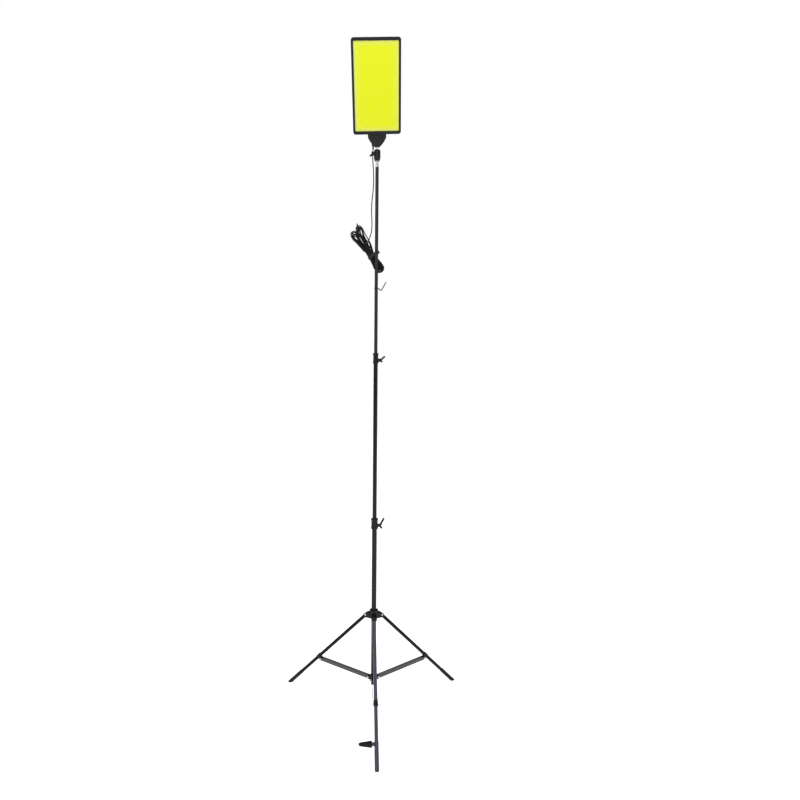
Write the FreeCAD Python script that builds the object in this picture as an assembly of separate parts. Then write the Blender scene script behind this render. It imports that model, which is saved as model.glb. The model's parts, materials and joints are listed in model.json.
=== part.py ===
"""A COB LED panel lamp on a three-section light stand, one STEP file per piece.

Frame: +Z up, millimetres. The origin lies on the floor under the column's axis. The front leg and
the lit face point to -Y. Everything stands at full height with its legs spread.
"""

import FreeCAD, Part
import math
import os

V = FreeCAD.Vector
X = V(1, 0, 0)
Y = V(0, 1, 0)
Z = V(0, 0, 1)
O = V(0, 0, 0)

# ---- driving dimensions ---------------------------------------------------------------------
RUN_FIT = 0.05          # radial clearance of anything that turns or slides
GAP = 0.4               # clearance between pieces that only pass each other
SEAT = 0.02             # clearance of pieces that are pressed or screwed home

LOWER_TUBE_R = 9.5
MIDDLE_TUBE_R = 8.0
UPPER_TUBE_R = 6.5
LEG_TUBE_R = 6.5
TUBE_WALL = 0.8

COLUMN_BOTTOM = 83.0    # underside of the end cap
LOWER_TUBE_TOP = 704.0
MIDDLE_TUBE_BOTTOM = 640.0
MIDDLE_TUBE_TOP = 1338.0
UPPER_TUBE_BOTTOM = 1250.0
UPPER_TUBE_TOP = 2066.0
GLIDE_FLOOR = 3.0       # end plate of the nylon glides

FOOT_REACH = 390.0      # column axis to where a leg's axis meets the floor
HUB_Z = 346.0           # height of the leg pivots
HUB_PIVOT_R = 32.0      # column axis to the leg pivots
SPIDER_Z = 108.0        # height of the brace pivots on the column
SPIDER_PIVOT_R = 20.0   # column axis to those pivots
BRACE_ON_LEG = 299.0    # leg pivot to brace pivot, along the leg
LEG_AZIMUTHS = {"front": -90.0, "right": 30.0, "left": 150.0}

KNUCKLE_HALF = 6.8      # half-width of every tongue that sits between two plates
BAR_THICK = 1.3
BAR_WIDTH = 10.0
EAR_THICK = 3.0
RIVET_R = 2.0
HEAD_R = 3.8            # rivet heads
HEAD_H = 1.2

FOOT_R = 7.5
FOOT_LENGTH = 84.0
COLLAR_LENGTH = 40.0
LOWER_COLLAR_R = 13.6
UPPER_COLLAR_R = 10.8
BUSH_LENGTH = 11.0
STUD_R = 3.0            # M6 clamp screws
PIN_STUD_R = 3.15       # 1/4 inch camera thread

BALL_Z = 2127.0
BALL_R = 10.5
HEAD_BODY_R = 12.5
LINER_THICK = 0.9
NECK_R = 3.6
HEAD_TILT = 25.5        # forward lean of the panel, degrees
HEAD_LEAN = 2.3         # sideways lean of the panel, degrees

PANEL_WIDTH = 180.0
PANEL_HEIGHT = 320.0
PANEL_CORNER = 10.0
PANEL_LOW = 61.6        # ball centre to the panel's lower edge
PANEL_FRONT = -12.0     # depths across the panel, front face to back face
PANEL_SPLIT = -1.0
PANEL_BACK = 8.0
SIDE_BORDER = 8.0
END_BORDER = 11.5
SHELL_WALL = 2.0
FIN_HEIGHT = 4.0
FIN_THICK = 1.6
FIN_COUNT = 13
LENS_RECESS = 1.8       # the lit face lies this far behind the bezel's front
COAT_THICK = 1.6
BOARD_THICK = 1.5
BRACKET_LOW = 16.0      # ball centre to the bracket's tip
BRACKET_WIDTH = 69.0
BRACKET_HALF_DEPTH = 8.0

CORD_R = 2.0
BUTTON_R = 5.0
BUTTON_TRAVEL = 1.5


# ---- small helpers --------------------------------------------------------------------------
def rod(radius, start, direction, length):
    return Part.makeCylinder(radius, length, start, direction)


def pipe(outer, inner, start, direction, length):
    return rod(outer, start, direction, length).cut(rod(inner, start, direction, length))


def block(low, high):
    size = high - low
    return Part.makeBox(size.x, size.y, size.z, low)


def turned(points, axis=Z):
    """A solid of revolution about Z (or X) from (radius, height) points."""
    corners = [V(r, 0, h) for r, h in points]
    face = Part.Face(Part.makePolygon(corners + corners[:1]))
    solid = face.revolve(O, Z, 360)
    if axis != Z:
        solid.Placement = FreeCAD.Placement(O, FreeCAD.Rotation(Z, axis))
    return solid


def plate(points, start, thickness, direction):
    """A flat polygon pushed along a direction."""
    wire = Part.makePolygon(points + points[:1])
    return Part.Face(wire).extrude(direction * thickness).translated(start)


def rounded_slab(width, height, corner, y0, y1, z0):
    """A slab in the XZ plane with round corners, from depth y0 to y1, standing on z0."""
    slab = block(V(-width / 2, y0, z0), V(width / 2, y1, z0 + height))
    upright = [e for e in slab.Edges if abs(e.tangentAt(0).y) > 0.9]
    return slab.makeFillet(corner, upright)


def link_bar(length, width, thickness, hole_r, y0):
    """A flat bar with round ends and two holes, along +X from the first hole, in the XZ plane."""
    half = width / 2
    arcs = [
        Part.LineSegment(V(0, 0, half), V(length, 0, half)).toShape(),
        Part.Arc(V(length, 0, half), V(length + half, 0, 0), V(length, 0, -half)).toShape(),
        Part.LineSegment(V(length, 0, -half), V(0, 0, -half)).toShape(),
        Part.Arc(V(0, 0, -half), V(-half, 0, 0), V(0, 0, half)).toShape(),
    ]
    bar = Part.Face(Part.Wire(arcs)).extrude(V(0, thickness, 0))
    for x in (0, length):
        bar = bar.cut(rod(hole_r, V(x, -1, 0), Y, thickness + 2))
    return bar.translated(V(0, y0, 0))


def belt_face(circles):
    """The face inside a belt round circles (x, y, radius), listed counter-clockwise."""
    edges = []
    ends = []
    for (x0, y0, r0), (x1, y1, r1) in zip(circles, circles[1:] + circles[:1]):
        heading = math.atan2(y1 - y0, x1 - x0)
        swing = math.acos((r0 - r1) / math.hypot(x1 - x0, y1 - y0))
        out = heading - swing
        side = V(math.cos(out), math.sin(out), 0)
        ends.append((V(x0, y0, 0) + side * r0, V(x1, y1, 0) + side * r1, out))
    for i, (leave, reach, out) in enumerate(ends):
        edges.append(Part.LineSegment(leave, reach).toShape())
        x, y, r = circles[(i + 1) % len(circles)]
        start, _, turn = ends[(i + 1) % len(ends)]
        middle = (out + (out + (turn - out) % (2 * math.pi))) / 2
        top = V(x + r * math.cos(middle), y + r * math.sin(middle), 0)
        edges.append(Part.Arc(reach, top, start).toShape())
    return Part.Face(Part.Wire(edges))


def round_z(shape, degrees):
    turned_copy = shape.copy()
    turned_copy.rotate(O, Z, degrees)
    return turned_copy


def save(name, *solids):
    """Writes one node: a single solid, or a group of separate ones."""
    shape = solids[0] if len(solids) == 1 else Part.makeCompound(list(solids))
    if not shape.isValid() or not shape.Solids:
        raise ValueError(f"{name} is not a valid solid")
    shape.exportStep(f"parts/{name}.step")
    print(f"{name:24s} {len(shape.Solids)} solid(s) {shape.Volume / 1000:9.2f} cm3")


def wing_knob(wing, counter, stud_length, stud_r=STUD_R, flare=48.0):
    """A clamp knob along +X: round hub, one long flared wing, a short one and its screw.

    The origin is the screw's tip, the wings stand in the XZ plane and the long one points up.
    """
    flare = math.radians(flare)
    hub = turned([(0, 0), (6.5, 0), (7.0, 1.5), (6.4, 6.5), (4.5, 8), (0, 8)], X)
    parts = [hub.translated(V(stud_length, 0, 0))]
    for reach, side in ((wing, 1), (counter, -1)):
        root = V(stud_length + 4.6, 0, 0)
        along = V(math.cos(flare), 0, side * math.sin(flare))
        across = V(-along.z * side, 0, along.x * side)
        outline = [
            root - across * 4.5,
            root + along * reach * 0.55 - across * 3.6,
            root + along * reach - across * 4.6,
            root + along * (reach + 2) + across * 0.5,
            root + along * reach + across * 4.2,
            root + across * 4.5,
        ]
        blade = plate(outline, V(0, -2.2, 0), 4.4, Y)
        flat = [e for e in blade.Edges if abs(e.tangentAt(0).y) < 0.1]
        parts.append(blade.makeChamfer(0.9, flat))
    knob = parts[0].fuse(parts[1:]).removeSplitter()
    return knob.fuse(rod(stud_r, O, X, stud_length + 2)).removeSplitter()


def placed(shape, position, x_axis, z_axis=Z):
    """The shape with its X and Z axes turned to new directions, then moved."""
    x = V(x_axis).normalize()
    z = (z_axis - x * x.dot(z_axis)).normalize()
    y = z.cross(x)
    turn = FreeCAD.Matrix(x.x, y.x, z.x, position.x, x.y, y.y, z.y, position.y,
                          x.z, y.z, z.z, position.z, 0, 0, 0, 1)
    copy = shape.copy()
    copy.Placement = FreeCAD.Placement(turn).multiply(copy.Placement)
    return copy


# ---- column ---------------------------------------------------------------------------------
KNOB_LIFT = 12.0        # the clamp screw sits this far below the tube's end
COLLAR_KNOB = dict(wing=30.0, counter=12.0, flare=62.0)
BOSS_R = 6.5
BOSS_OUT = 2.5          # how far a collar's boss stands out


def clamp_collar(outer_r, tube_r, inner_r, tube_top, knob_angle):
    """A plastic clamp round a tube's end, with a boss for the knob and a lip over the bush."""
    low = tube_top + BUSH_LENGTH + 4 - COLLAR_LENGTH
    high = low + COLLAR_LENGTH
    lip_r = inner_r + 0.6
    body = turned([
        (tube_r + SEAT, low), (outer_r - 1, low), (outer_r, low + 1.5), (outer_r, low + 7),
        (outer_r - 1.3, low + 9), (outer_r - 1.3, high - 9), (outer_r, high - 7),
        (outer_r, high - 1.5), (outer_r - 1, high), (lip_r, high), (lip_r, high - 3.5),
        (tube_r + SEAT, high - 3.5),
    ])
    screw_z = tube_top - KNOB_LIFT
    boss = rod(BOSS_R, V(tube_r + 1, 0, screw_z), X, outer_r + BOSS_OUT - tube_r - 1)
    body = body.fuse(boss).removeSplitter()
    body = body.cut(rod(STUD_R + RUN_FIT, V(0, 0, screw_z), X, outer_r + 10))
    return round_z(body, knob_angle)


def collar_knob(outer_r, tube_r, tube_top, knob_angle, wing_turn):
    """The collar's knob; its screw ends in the wall of the clamped tube."""
    tip = tube_r - TUBE_WALL + 0.3
    knob = wing_knob(stud_length=outer_r + BOSS_OUT + 0.5 - tip, **COLLAR_KNOB)
    knob.rotate(O, X, wing_turn)
    knob = placed(knob, V(tip, 0, tube_top - KNOB_LIFT), X)
    return round_z(knob, knob_angle)


def clamped_tube(outer_r, bottom, top, hole_angle):
    """A column tube with the clamp screw's hole near its top."""
    tube = pipe(outer_r, outer_r - TUBE_WALL, V(0, 0, bottom), Z, top - bottom)
    hole = rod(STUD_R + GAP, V(0, 0, top - KNOB_LIFT), X, outer_r + 5)
    return tube.cut(round_z(hole, hole_angle))


def tube_glide(tube_r, bore_r, bottom, top):
    """A nylon sleeve with a floor, round a tube's lower end and sliding in the next tube."""
    outer = bore_r - RUN_FIT
    inner = tube_r + RUN_FIT
    floor = bottom - GLIDE_FLOOR - 0.1
    return turned([
        (0, floor), (outer - 0.4, floor), (outer, floor + 0.6), (outer, top),
        (inner, top), (inner, floor + GLIDE_FLOOR), (0, floor + GLIDE_FLOOR),
    ])


def column():
    lower_bore = LOWER_TUBE_R - TUBE_WALL
    middle_bore = MIDDLE_TUBE_R - TUBE_WALL
    cap_top = COLUMN_BOTTOM + 3.0
    save("lower_tube", clamped_tube(LOWER_TUBE_R, cap_top, LOWER_TUBE_TOP, 0))
    cap = turned([
        (0, COLUMN_BOTTOM), (LOWER_TUBE_R - 2.5, COLUMN_BOTTOM), (LOWER_TUBE_R + 0.6, COLUMN_BOTTOM + 1.5),
        (LOWER_TUBE_R + 0.6, cap_top), (lower_bore - SEAT, cap_top), (lower_bore - SEAT, cap_top + 14),
        (lower_bore - 2, cap_top + 14), (lower_bore - 2, cap_top + 1), (0, cap_top + 1),
    ])
    save("column_end_cap", cap)
    save("lower_collar", clamp_collar(LOWER_COLLAR_R, LOWER_TUBE_R, MIDDLE_TUBE_R, LOWER_TUBE_TOP, 0))
    save("lower_collar_bush", pipe(LOWER_TUBE_R, MIDDLE_TUBE_R + RUN_FIT,
                                   V(0, 0, LOWER_TUBE_TOP + 0.1), Z, BUSH_LENGTH))
    save("lower_collar_knob", collar_knob(LOWER_COLLAR_R, LOWER_TUBE_R, LOWER_TUBE_TOP, 0, 0))

    save("middle_tube", clamped_tube(MIDDLE_TUBE_R, MIDDLE_TUBE_BOTTOM, MIDDLE_TUBE_TOP, 0))
    save("middle_tube_glide", tube_glide(MIDDLE_TUBE_R - RUN_FIT + SEAT, lower_bore,
                                         MIDDLE_TUBE_BOTTOM, LOWER_TUBE_TOP - 0.5))
    save("upper_collar", clamp_collar(UPPER_COLLAR_R, MIDDLE_TUBE_R, UPPER_TUBE_R, MIDDLE_TUBE_TOP, 0))
    save("upper_collar_bush", pipe(MIDDLE_TUBE_R, UPPER_TUBE_R + RUN_FIT,
                                   V(0, 0, MIDDLE_TUBE_TOP + 0.1), Z, BUSH_LENGTH))
    save("upper_collar_knob", collar_knob(UPPER_COLLAR_R, MIDDLE_TUBE_R, MIDDLE_TUBE_TOP, 0, 62))
    save("upper_tube_glide", tube_glide(UPPER_TUBE_R, middle_bore, UPPER_TUBE_BOTTOM, MIDDLE_TUBE_TOP - 0.5))


# ---- cable hook and spigot ------------------------------------------------------------------
HOOK_WIRE_R = 2.0
HOOK_Z = 1601.0
HOOK_OUT = V(18.0, 0, 1592.0)
HOOK_TIP = V(36.5, 0, 1624.0)
SPIGOT_R = 5.4
SPIGOT_TOP = 2091.0
SPIGOT_PLUG = 20.0
STUD_LENGTH = 9.0


def upper_column():
    bore = UPPER_TUBE_R - TUBE_WALL
    tube = pipe(UPPER_TUBE_R, bore, V(0, 0, UPPER_TUBE_BOTTOM), Z, UPPER_TUBE_TOP - UPPER_TUBE_BOTTOM)
    start = V(-UPPER_TUBE_R - 1.2, 0, HOOK_Z)
    cross_hole = rod(HOOK_WIRE_R + SEAT, start, X, 2 * UPPER_TUBE_R + 3)
    save("upper_tube", tube.cut(cross_hole))

    bend = V(UPPER_TUBE_R + 3.0, 0, HOOK_Z)
    route = rounded_route([start, bend, HOOK_OUT, HOOK_TIP], [0, 4.0, 4.0, 0])
    hook = Part.Wire(route).makePipeShell([circle_at(start, X, HOOK_WIRE_R)], True, False)
    hook = Part.Solid(hook) if not hook.Solids else hook.Solids[0]
    peen = rod(HOOK_WIRE_R + 1.2, start, X, 1.15)
    tip = Part.makeSphere(HOOK_WIRE_R + 0.5, HOOK_TIP)
    save("cable_hook", hook.fuse([peen, tip]).removeSplitter())

    spigot = turned([
        (0, UPPER_TUBE_TOP - SPIGOT_PLUG), (bore - SEAT, UPPER_TUBE_TOP - SPIGOT_PLUG),
        (bore - SEAT, UPPER_TUBE_TOP), (UPPER_TUBE_R, UPPER_TUBE_TOP), (UPPER_TUBE_R, UPPER_TUBE_TOP + 2),
        (SPIGOT_R, UPPER_TUBE_TOP + 3), (SPIGOT_R, UPPER_TUBE_TOP + 11), (SPIGOT_R - 1, UPPER_TUBE_TOP + 12),
        (SPIGOT_R - 1, UPPER_TUBE_TOP + 15), (SPIGOT_R, UPPER_TUBE_TOP + 16), (SPIGOT_R, SPIGOT_TOP),
        (PIN_STUD_R - SEAT, SPIGOT_TOP), (PIN_STUD_R - SEAT, SPIGOT_TOP + STUD_LENGTH - 1),
        (PIN_STUD_R - 1, SPIGOT_TOP + STUD_LENGTH), (0, SPIGOT_TOP + STUD_LENGTH),
    ])
    save("top_spigot", spigot)


# ---- legs and braces ------------------------------------------------------------------------
LEG_SLOPE = math.atan2(FOOT_REACH - HUB_PIVOT_R, HUB_Z)     # from the vertical
LEG_LENGTH = math.hypot(FOOT_REACH - HUB_PIVOT_R, HUB_Z)
BRACE_OFFSET = HUB_PIVOT_R - SPIDER_PIVOT_R                 # so that the folded braces stand upright


def leg_frame(azimuth, point=V(HUB_PIVOT_R, 0, HUB_Z)):
    """Turns a piece made along +X from its pivot, with +Z on its upper side, into a leg's place."""
    down = V(math.sin(LEG_SLOPE), 0, -math.cos(LEG_SLOPE))
    up_side = V(math.cos(LEG_SLOPE), 0, math.sin(LEG_SLOPE))

    def put(shape):
        return round_z(placed(shape, point, down, up_side), azimuth)

    return put


def brace_ends():
    """The brace pivots on the spider and on the leg, in the leg's upright plane."""
    along = V(math.sin(LEG_SLOPE), 0, -math.cos(LEG_SLOPE))
    inward = V(-math.cos(LEG_SLOPE), 0, -math.sin(LEG_SLOPE))
    on_leg = V(HUB_PIVOT_R, 0, HUB_Z) + along * BRACE_ON_LEG + inward * BRACE_OFFSET
    return V(SPIDER_PIVOT_R, 0, SPIDER_Z), on_leg


def rivet(y_half, point):
    """A rivet across Y with a round head on each end, and washers' width between the heads."""
    half = y_half + 0.15
    pin = rod(RIVET_R, V(point.x, -half, point.z), Y, 2 * half)
    heads = []
    for side in (-1, 1):
        head = Part.makeCone(HEAD_R, HEAD_R - 1.2, HEAD_H, V(point.x, side * half, point.z), Y * side)
        heads.append(head)
    return pin.fuse(heads).removeSplitter()


def rivet_stubs(inner, outer, point):
    """A rivet's two ends only, each peened in its own bar, with nothing between the bars."""
    stubs = []
    for side in (-1, 1):
        pin = rod(RIVET_R, V(point.x, side * inner, point.z), Y * side, outer + 0.15 - inner)
        seat = V(point.x, side * (outer + 0.15), point.z)
        stubs.append(pin.fuse(Part.makeCone(HEAD_R, HEAD_R - 1.2, HEAD_H, seat, Y * side)).removeSplitter())
    return stubs


def legs():
    hole_r = RIVET_R + RUN_FIT
    ear_in = KNUCKLE_HALF + GAP
    ear_out = ear_in + EAR_THICK
    foot_cut = block(V(-900, -900, -200), V(900, 900, 0))
    for name, azimuth in LEG_AZIMUTHS.items():
        put = leg_frame(azimuth)
        tube_end = LEG_LENGTH - 12
        save(f"{name}_leg_tube", put(pipe(LEG_TUBE_R, LEG_TUBE_R - TUBE_WALL, V(11, 0, 0), X, tube_end - 11)))

        plug = rod(LEG_TUBE_R - TUBE_WALL - SEAT, V(8, 0, 0), X, 24)
        shoulder = rod(KNUCKLE_HALF, V(8, 0, 0), X, 3)
        tongue = rod(5.6, V(0, -KNUCKLE_HALF, 0), Y, 2 * KNUCKLE_HALF)
        neck = block(V(0, -KNUCKLE_HALF + 1.2, -5.6), V(9, KNUCKLE_HALF - 1.2, 5.6))
        knuckle = plug.fuse([shoulder, tongue, neck]).removeSplitter()
        knuckle = knuckle.cut(rod(hole_r, V(0, -20, 0), Y, 40))
        save(f"{name}_leg_knuckle", put(knuckle))

        lug_x = BRACE_ON_LEG
        clip = pipe(LEG_TUBE_R + 1.8, LEG_TUBE_R + SEAT, V(lug_x - 9, 0, 0), X, 18)
        sides = block(V(lug_x - 12, -KNUCKLE_HALF, -20), V(lug_x + 12, KNUCKLE_HALF, 20))
        lug = rod(5.0, V(lug_x, -3, -BRACE_OFFSET), Y, 6)
        web = block(V(lug_x - 5, -3, -BRACE_OFFSET), V(lug_x + 5, 3, -LEG_TUBE_R - 0.6))
        bracket = clip.common(sides).fuse([lug, web]).removeSplitter()
        bracket = bracket.cut(rod(hole_r, V(lug_x, -20, -BRACE_OFFSET), Y, 40))
        save(f"{name}_brace_bracket", put(bracket))

        foot_start = LEG_LENGTH - FOOT_LENGTH
        sleeve = turned([
            (LEG_TUBE_R + RUN_FIT, 0), (FOOT_R - 0.8, 0), (FOOT_R, 1.5), (FOOT_R, 20), (FOOT_R - 0.5, 21),
            (FOOT_R - 0.5, 24), (FOOT_R, 25), (FOOT_R, FOOT_LENGTH + 4), (FOOT_R - 3.5, FOOT_LENGTH + 11),
            (0, FOOT_LENGTH + 11), (0, FOOT_LENGTH - 11), (LEG_TUBE_R + RUN_FIT, FOOT_LENGTH - 11),
        ], X).translated(V(foot_start, 0, 0))
        if name == "front":
            boss = rod(6.0, V(foot_start + 9, -LEG_TUBE_R - 0.5, 0), -Y, FOOT_KNOB_SEAT - LEG_TUBE_R - 0.5)
            screw_way = rod(STUD_R + RUN_FIT, V(foot_start + 9, 0, 0), -Y, FOOT_KNOB_SEAT + 5)
            sleeve = sleeve.fuse(boss).removeSplitter().cut(screw_way)
        foot_name = "levelling_foot" if name == "front" else f"{name}_foot"
        save(foot_name, put(sleeve).cut(foot_cut))

        inner, outer = brace_ends()
        length = (outer - inner).Length
        bars = [link_bar(length, BAR_WIDTH, BAR_THICK, hole_r, ear_in),
                link_bar(length, BAR_WIDTH, BAR_THICK, hole_r, -ear_in - BAR_THICK)]
        save(f"{name}_brace_bars", *[round_z(placed(b, inner, outer - inner), azimuth) for b in bars])
        save(f"{name}_brace_rivet", *[round_z(stub, azimuth)
                                      for stub in rivet_stubs(ear_in, ear_in + BAR_THICK, outer)])

    put = leg_frame(LEG_AZIMUTHS["front"])
    knob = placed(foot_knob(), V(LEG_LENGTH - FOOT_LENGTH + 9, -LEG_TUBE_R - GAP, 0), -Y, X)
    save("foot_knob", put(knob))

    hub_r = LOWER_TUBE_R + 5.5
    hub = turned([
        (LOWER_TUBE_R + 1.5, HUB_Z - HUB_DROP), (hub_r - 1.5, HUB_Z - HUB_DROP), (hub_r, HUB_Z - HUB_DROP + 2),
        (hub_r, HUB_Z + 16),
        (hub_r + 2, HUB_Z + 17), (hub_r + 2, HUB_Z + 22), (hub_r, HUB_Z + 24), (LOWER_TUBE_R + 0.3, HUB_Z + 24),
        (LOWER_TUBE_R + 0.3, HUB_Z + 21), (LOWER_TUBE_R + 1.5, HUB_Z + 21),
    ])
    spider = pipe(LOWER_TUBE_R + 3.0, LOWER_TUBE_R + SEAT, V(0, 0, SPIDER_Z - 12), Z, 24)
    ears = []
    lugs = []
    for azimuth in LEG_AZIMUTHS.values():
        for side in (-1, 1):
            low = min(side * ear_in, side * ear_out)
            ear = block(V(hub_r - 3, low, HUB_Z - 10), V(HUB_PIVOT_R, low + EAR_THICK, HUB_Z + 9))
            nose = rod(7.0, V(HUB_PIVOT_R, low, HUB_Z + 0), Y, EAR_THICK)
            ears.append(round_z(ear.fuse(nose), azimuth))
        lug = block(V(LOWER_TUBE_R + 1.5, -KNUCKLE_HALF, SPIDER_Z - 8),
                    V(SPIDER_PIVOT_R, KNUCKLE_HALF, SPIDER_Z + 5.5))
        nose = rod(5.5, V(SPIDER_PIVOT_R, -KNUCKLE_HALF, SPIDER_Z), Y, 2 * KNUCKLE_HALF)
        reach = HUB_PIVOT_R - FOOT_R - GAP      # so that a folded foot passes the spider
        room = block(V(0, -20, SPIDER_Z - 20), V(reach, 20, SPIDER_Z + 20))
        lugs.append(round_z(lug.fuse(nose).common(room), azimuth))
    knob_z = HUB_Z + 6
    boss = rod(6.0, V(0, LOWER_TUBE_R + 2, knob_z), Y, HUB_KNOB_SEAT - LOWER_TUBE_R - 2)
    hub = hub.fuse(ears + [boss]).removeSplitter()
    hub = hub.cut(rod(STUD_R + RUN_FIT, V(0, 0, knob_z), Y, 60))
    hub = hub.cut(rod(LOWER_TUBE_R + 0.3, V(0, 0, HUB_Z - 30), Z, 80))
    spider = spider.fuse(lugs).removeSplitter()
    for azimuth in LEG_AZIMUTHS.values():
        hub = hub.cut(round_z(rod(hole_r, V(HUB_PIVOT_R, -30, HUB_Z), Y, 60), azimuth))
        spider = spider.cut(round_z(rod(hole_r, V(SPIDER_PIVOT_R, -30, SPIDER_Z), Y, 60), azimuth))
    save("leg_hub", hub)
    save("lower_spider", spider.cut(rod(LOWER_TUBE_R + SEAT, V(0, 0, SPIDER_Z - 30), Z, 60)))
    bush = pipe(LOWER_TUBE_R + 1.5 - SEAT, LOWER_TUBE_R + RUN_FIT, V(0, 0, HUB_Z - HUB_DROP), Z, HUB_DROP + 20.5)
    save("hub_bush", bush.cut(rod(STUD_R + GAP, V(0, 0, knob_z), Y, 30)))
    save("hub_rivets", *[round_z(rivet(ear_out, V(HUB_PIVOT_R, 0, HUB_Z)), a) for a in LEG_AZIMUTHS.values()])
    save("spider_rivets", *[round_z(rivet(ear_in + BAR_THICK, V(SPIDER_PIVOT_R, 0, SPIDER_Z)), a)
                            for a in LEG_AZIMUTHS.values()])
    tip = LOWER_TUBE_R + GAP
    knob = wing_knob(26.0, 13.0, HUB_KNOB_SEAT + 0.5 - tip)
    save("hub_knob", placed(knob, V(0, tip, knob_z), Y, Z))


HUB_DROP = 11.0         # the hub reaches this far below the leg pivots
HUB_KNOB_SEAT = 21.0    # where the hub's boss ends
FOOT_KNOB_SEAT = 12.5   # where the levelling foot's boss ends
FOOT_KNOB_LENGTH = 46.0


def foot_knob():
    """The levelling foot's tapered grip and its screw, along +X from the screw's tip."""
    seat = FOOT_KNOB_SEAT + 0.5 - LEG_TUBE_R - GAP
    grip = turned([
        (0, seat), (6.2, seat), (6.8, seat + 3), (5.6, seat + 12), (4.2, seat + FOOT_KNOB_LENGTH - 8),
        (4.6, seat + FOOT_KNOB_LENGTH - 3), (3.2, seat + FOOT_KNOB_LENGTH), (0, seat + FOOT_KNOB_LENGTH),
    ], X)
    blade_end = seat + FOOT_KNOB_LENGTH - 4
    blade = plate([V(seat + 2, 0, -11.0), V(blade_end, 0, -5.6), V(blade_end, 0, 5.6), V(seat + 2, 0, 11.0)],
                  V(0, -1.6, 0), 3.2, Y)
    return grip.fuse([blade, rod(STUD_R, O, X, seat + 2)]).removeSplitter()


# ---- routes of wires and cords --------------------------------------------------------------
def circle_at(point, normal, radius):
    return Part.Wire(Part.Circle(point, normal, radius).toShape())


def rounded_route(points, radii):
    """Edges of straight runs joined by tangent arcs; radii holds one value per point."""
    edges = []
    last = points[0]
    for before, here, after, radius in zip(points, points[1:], points[2:], radii[1:]):
        into = (here - before).normalize()
        out = (after - here).normalize()
        turn = into.getAngle(out)
        back = radius * math.tan(turn / 2)
        start = here - into * back
        end = here + out * back
        bisector = (out - into).normalize()
        centre = here + bisector * (radius / math.cos(turn / 2))
        middle = centre - bisector * radius
        edges.append(Part.LineSegment(last, start).toShape())
        edges.append(Part.Arc(start, middle, end).toShape())
        last = end
    edges.append(Part.LineSegment(last, points[-1]).toShape())
    return edges


def largest_radii(points):
    """Each bend's arc, as large as its two runs allow."""
    radii = [0]
    for before, here, after in zip(points, points[1:], points[2:]):
        into = here - before
        out = after - here
        shorter = min(into.Length, out.Length)
        radii.append(0.45 * shorter / math.tan(into.getAngle(out) / 2))
    return radii + [0]


def tube_along(points, radius, radii):
    wire = Part.Wire(rounded_route(points, radii))
    first = (points[1] - points[0]).normalize()
    shell = wire.makePipeShell([circle_at(points[0], first, radius)], True, False)
    solid = Part.Solid(shell) if not shell.Solids else shell.Solids[0]
    return solid, wire.Length


# ---- lamp head ------------------------------------------------------------------------------
def head_turn():
    """The rest turn of everything above the ball: tilted forward, then leaned sideways."""
    forward = FreeCAD.Rotation(X, HEAD_TILT)
    sideways = FreeCAD.Rotation(Y, -HEAD_LEAN)
    return FreeCAD.Placement(V(0, 0, BALL_Z), sideways.multiply(forward))


def on_head(shape):
    """Moves a piece made upright about the ball centre into its place on the tilted head."""
    copy = shape.copy()
    copy.Placement = head_turn().multiply(copy.Placement)
    return copy


BALL_KNOB_Z = BALL_Z - 13.0
BALL_KNOB_ANGLE = -140.0
NECK_TOP = 13.0
RING_TOP = 15.8
STUD_TOP = 27.0
MOUTH_ANGLE = 68.0      # half-angle of the socket's mouth, from the ball centre


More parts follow.
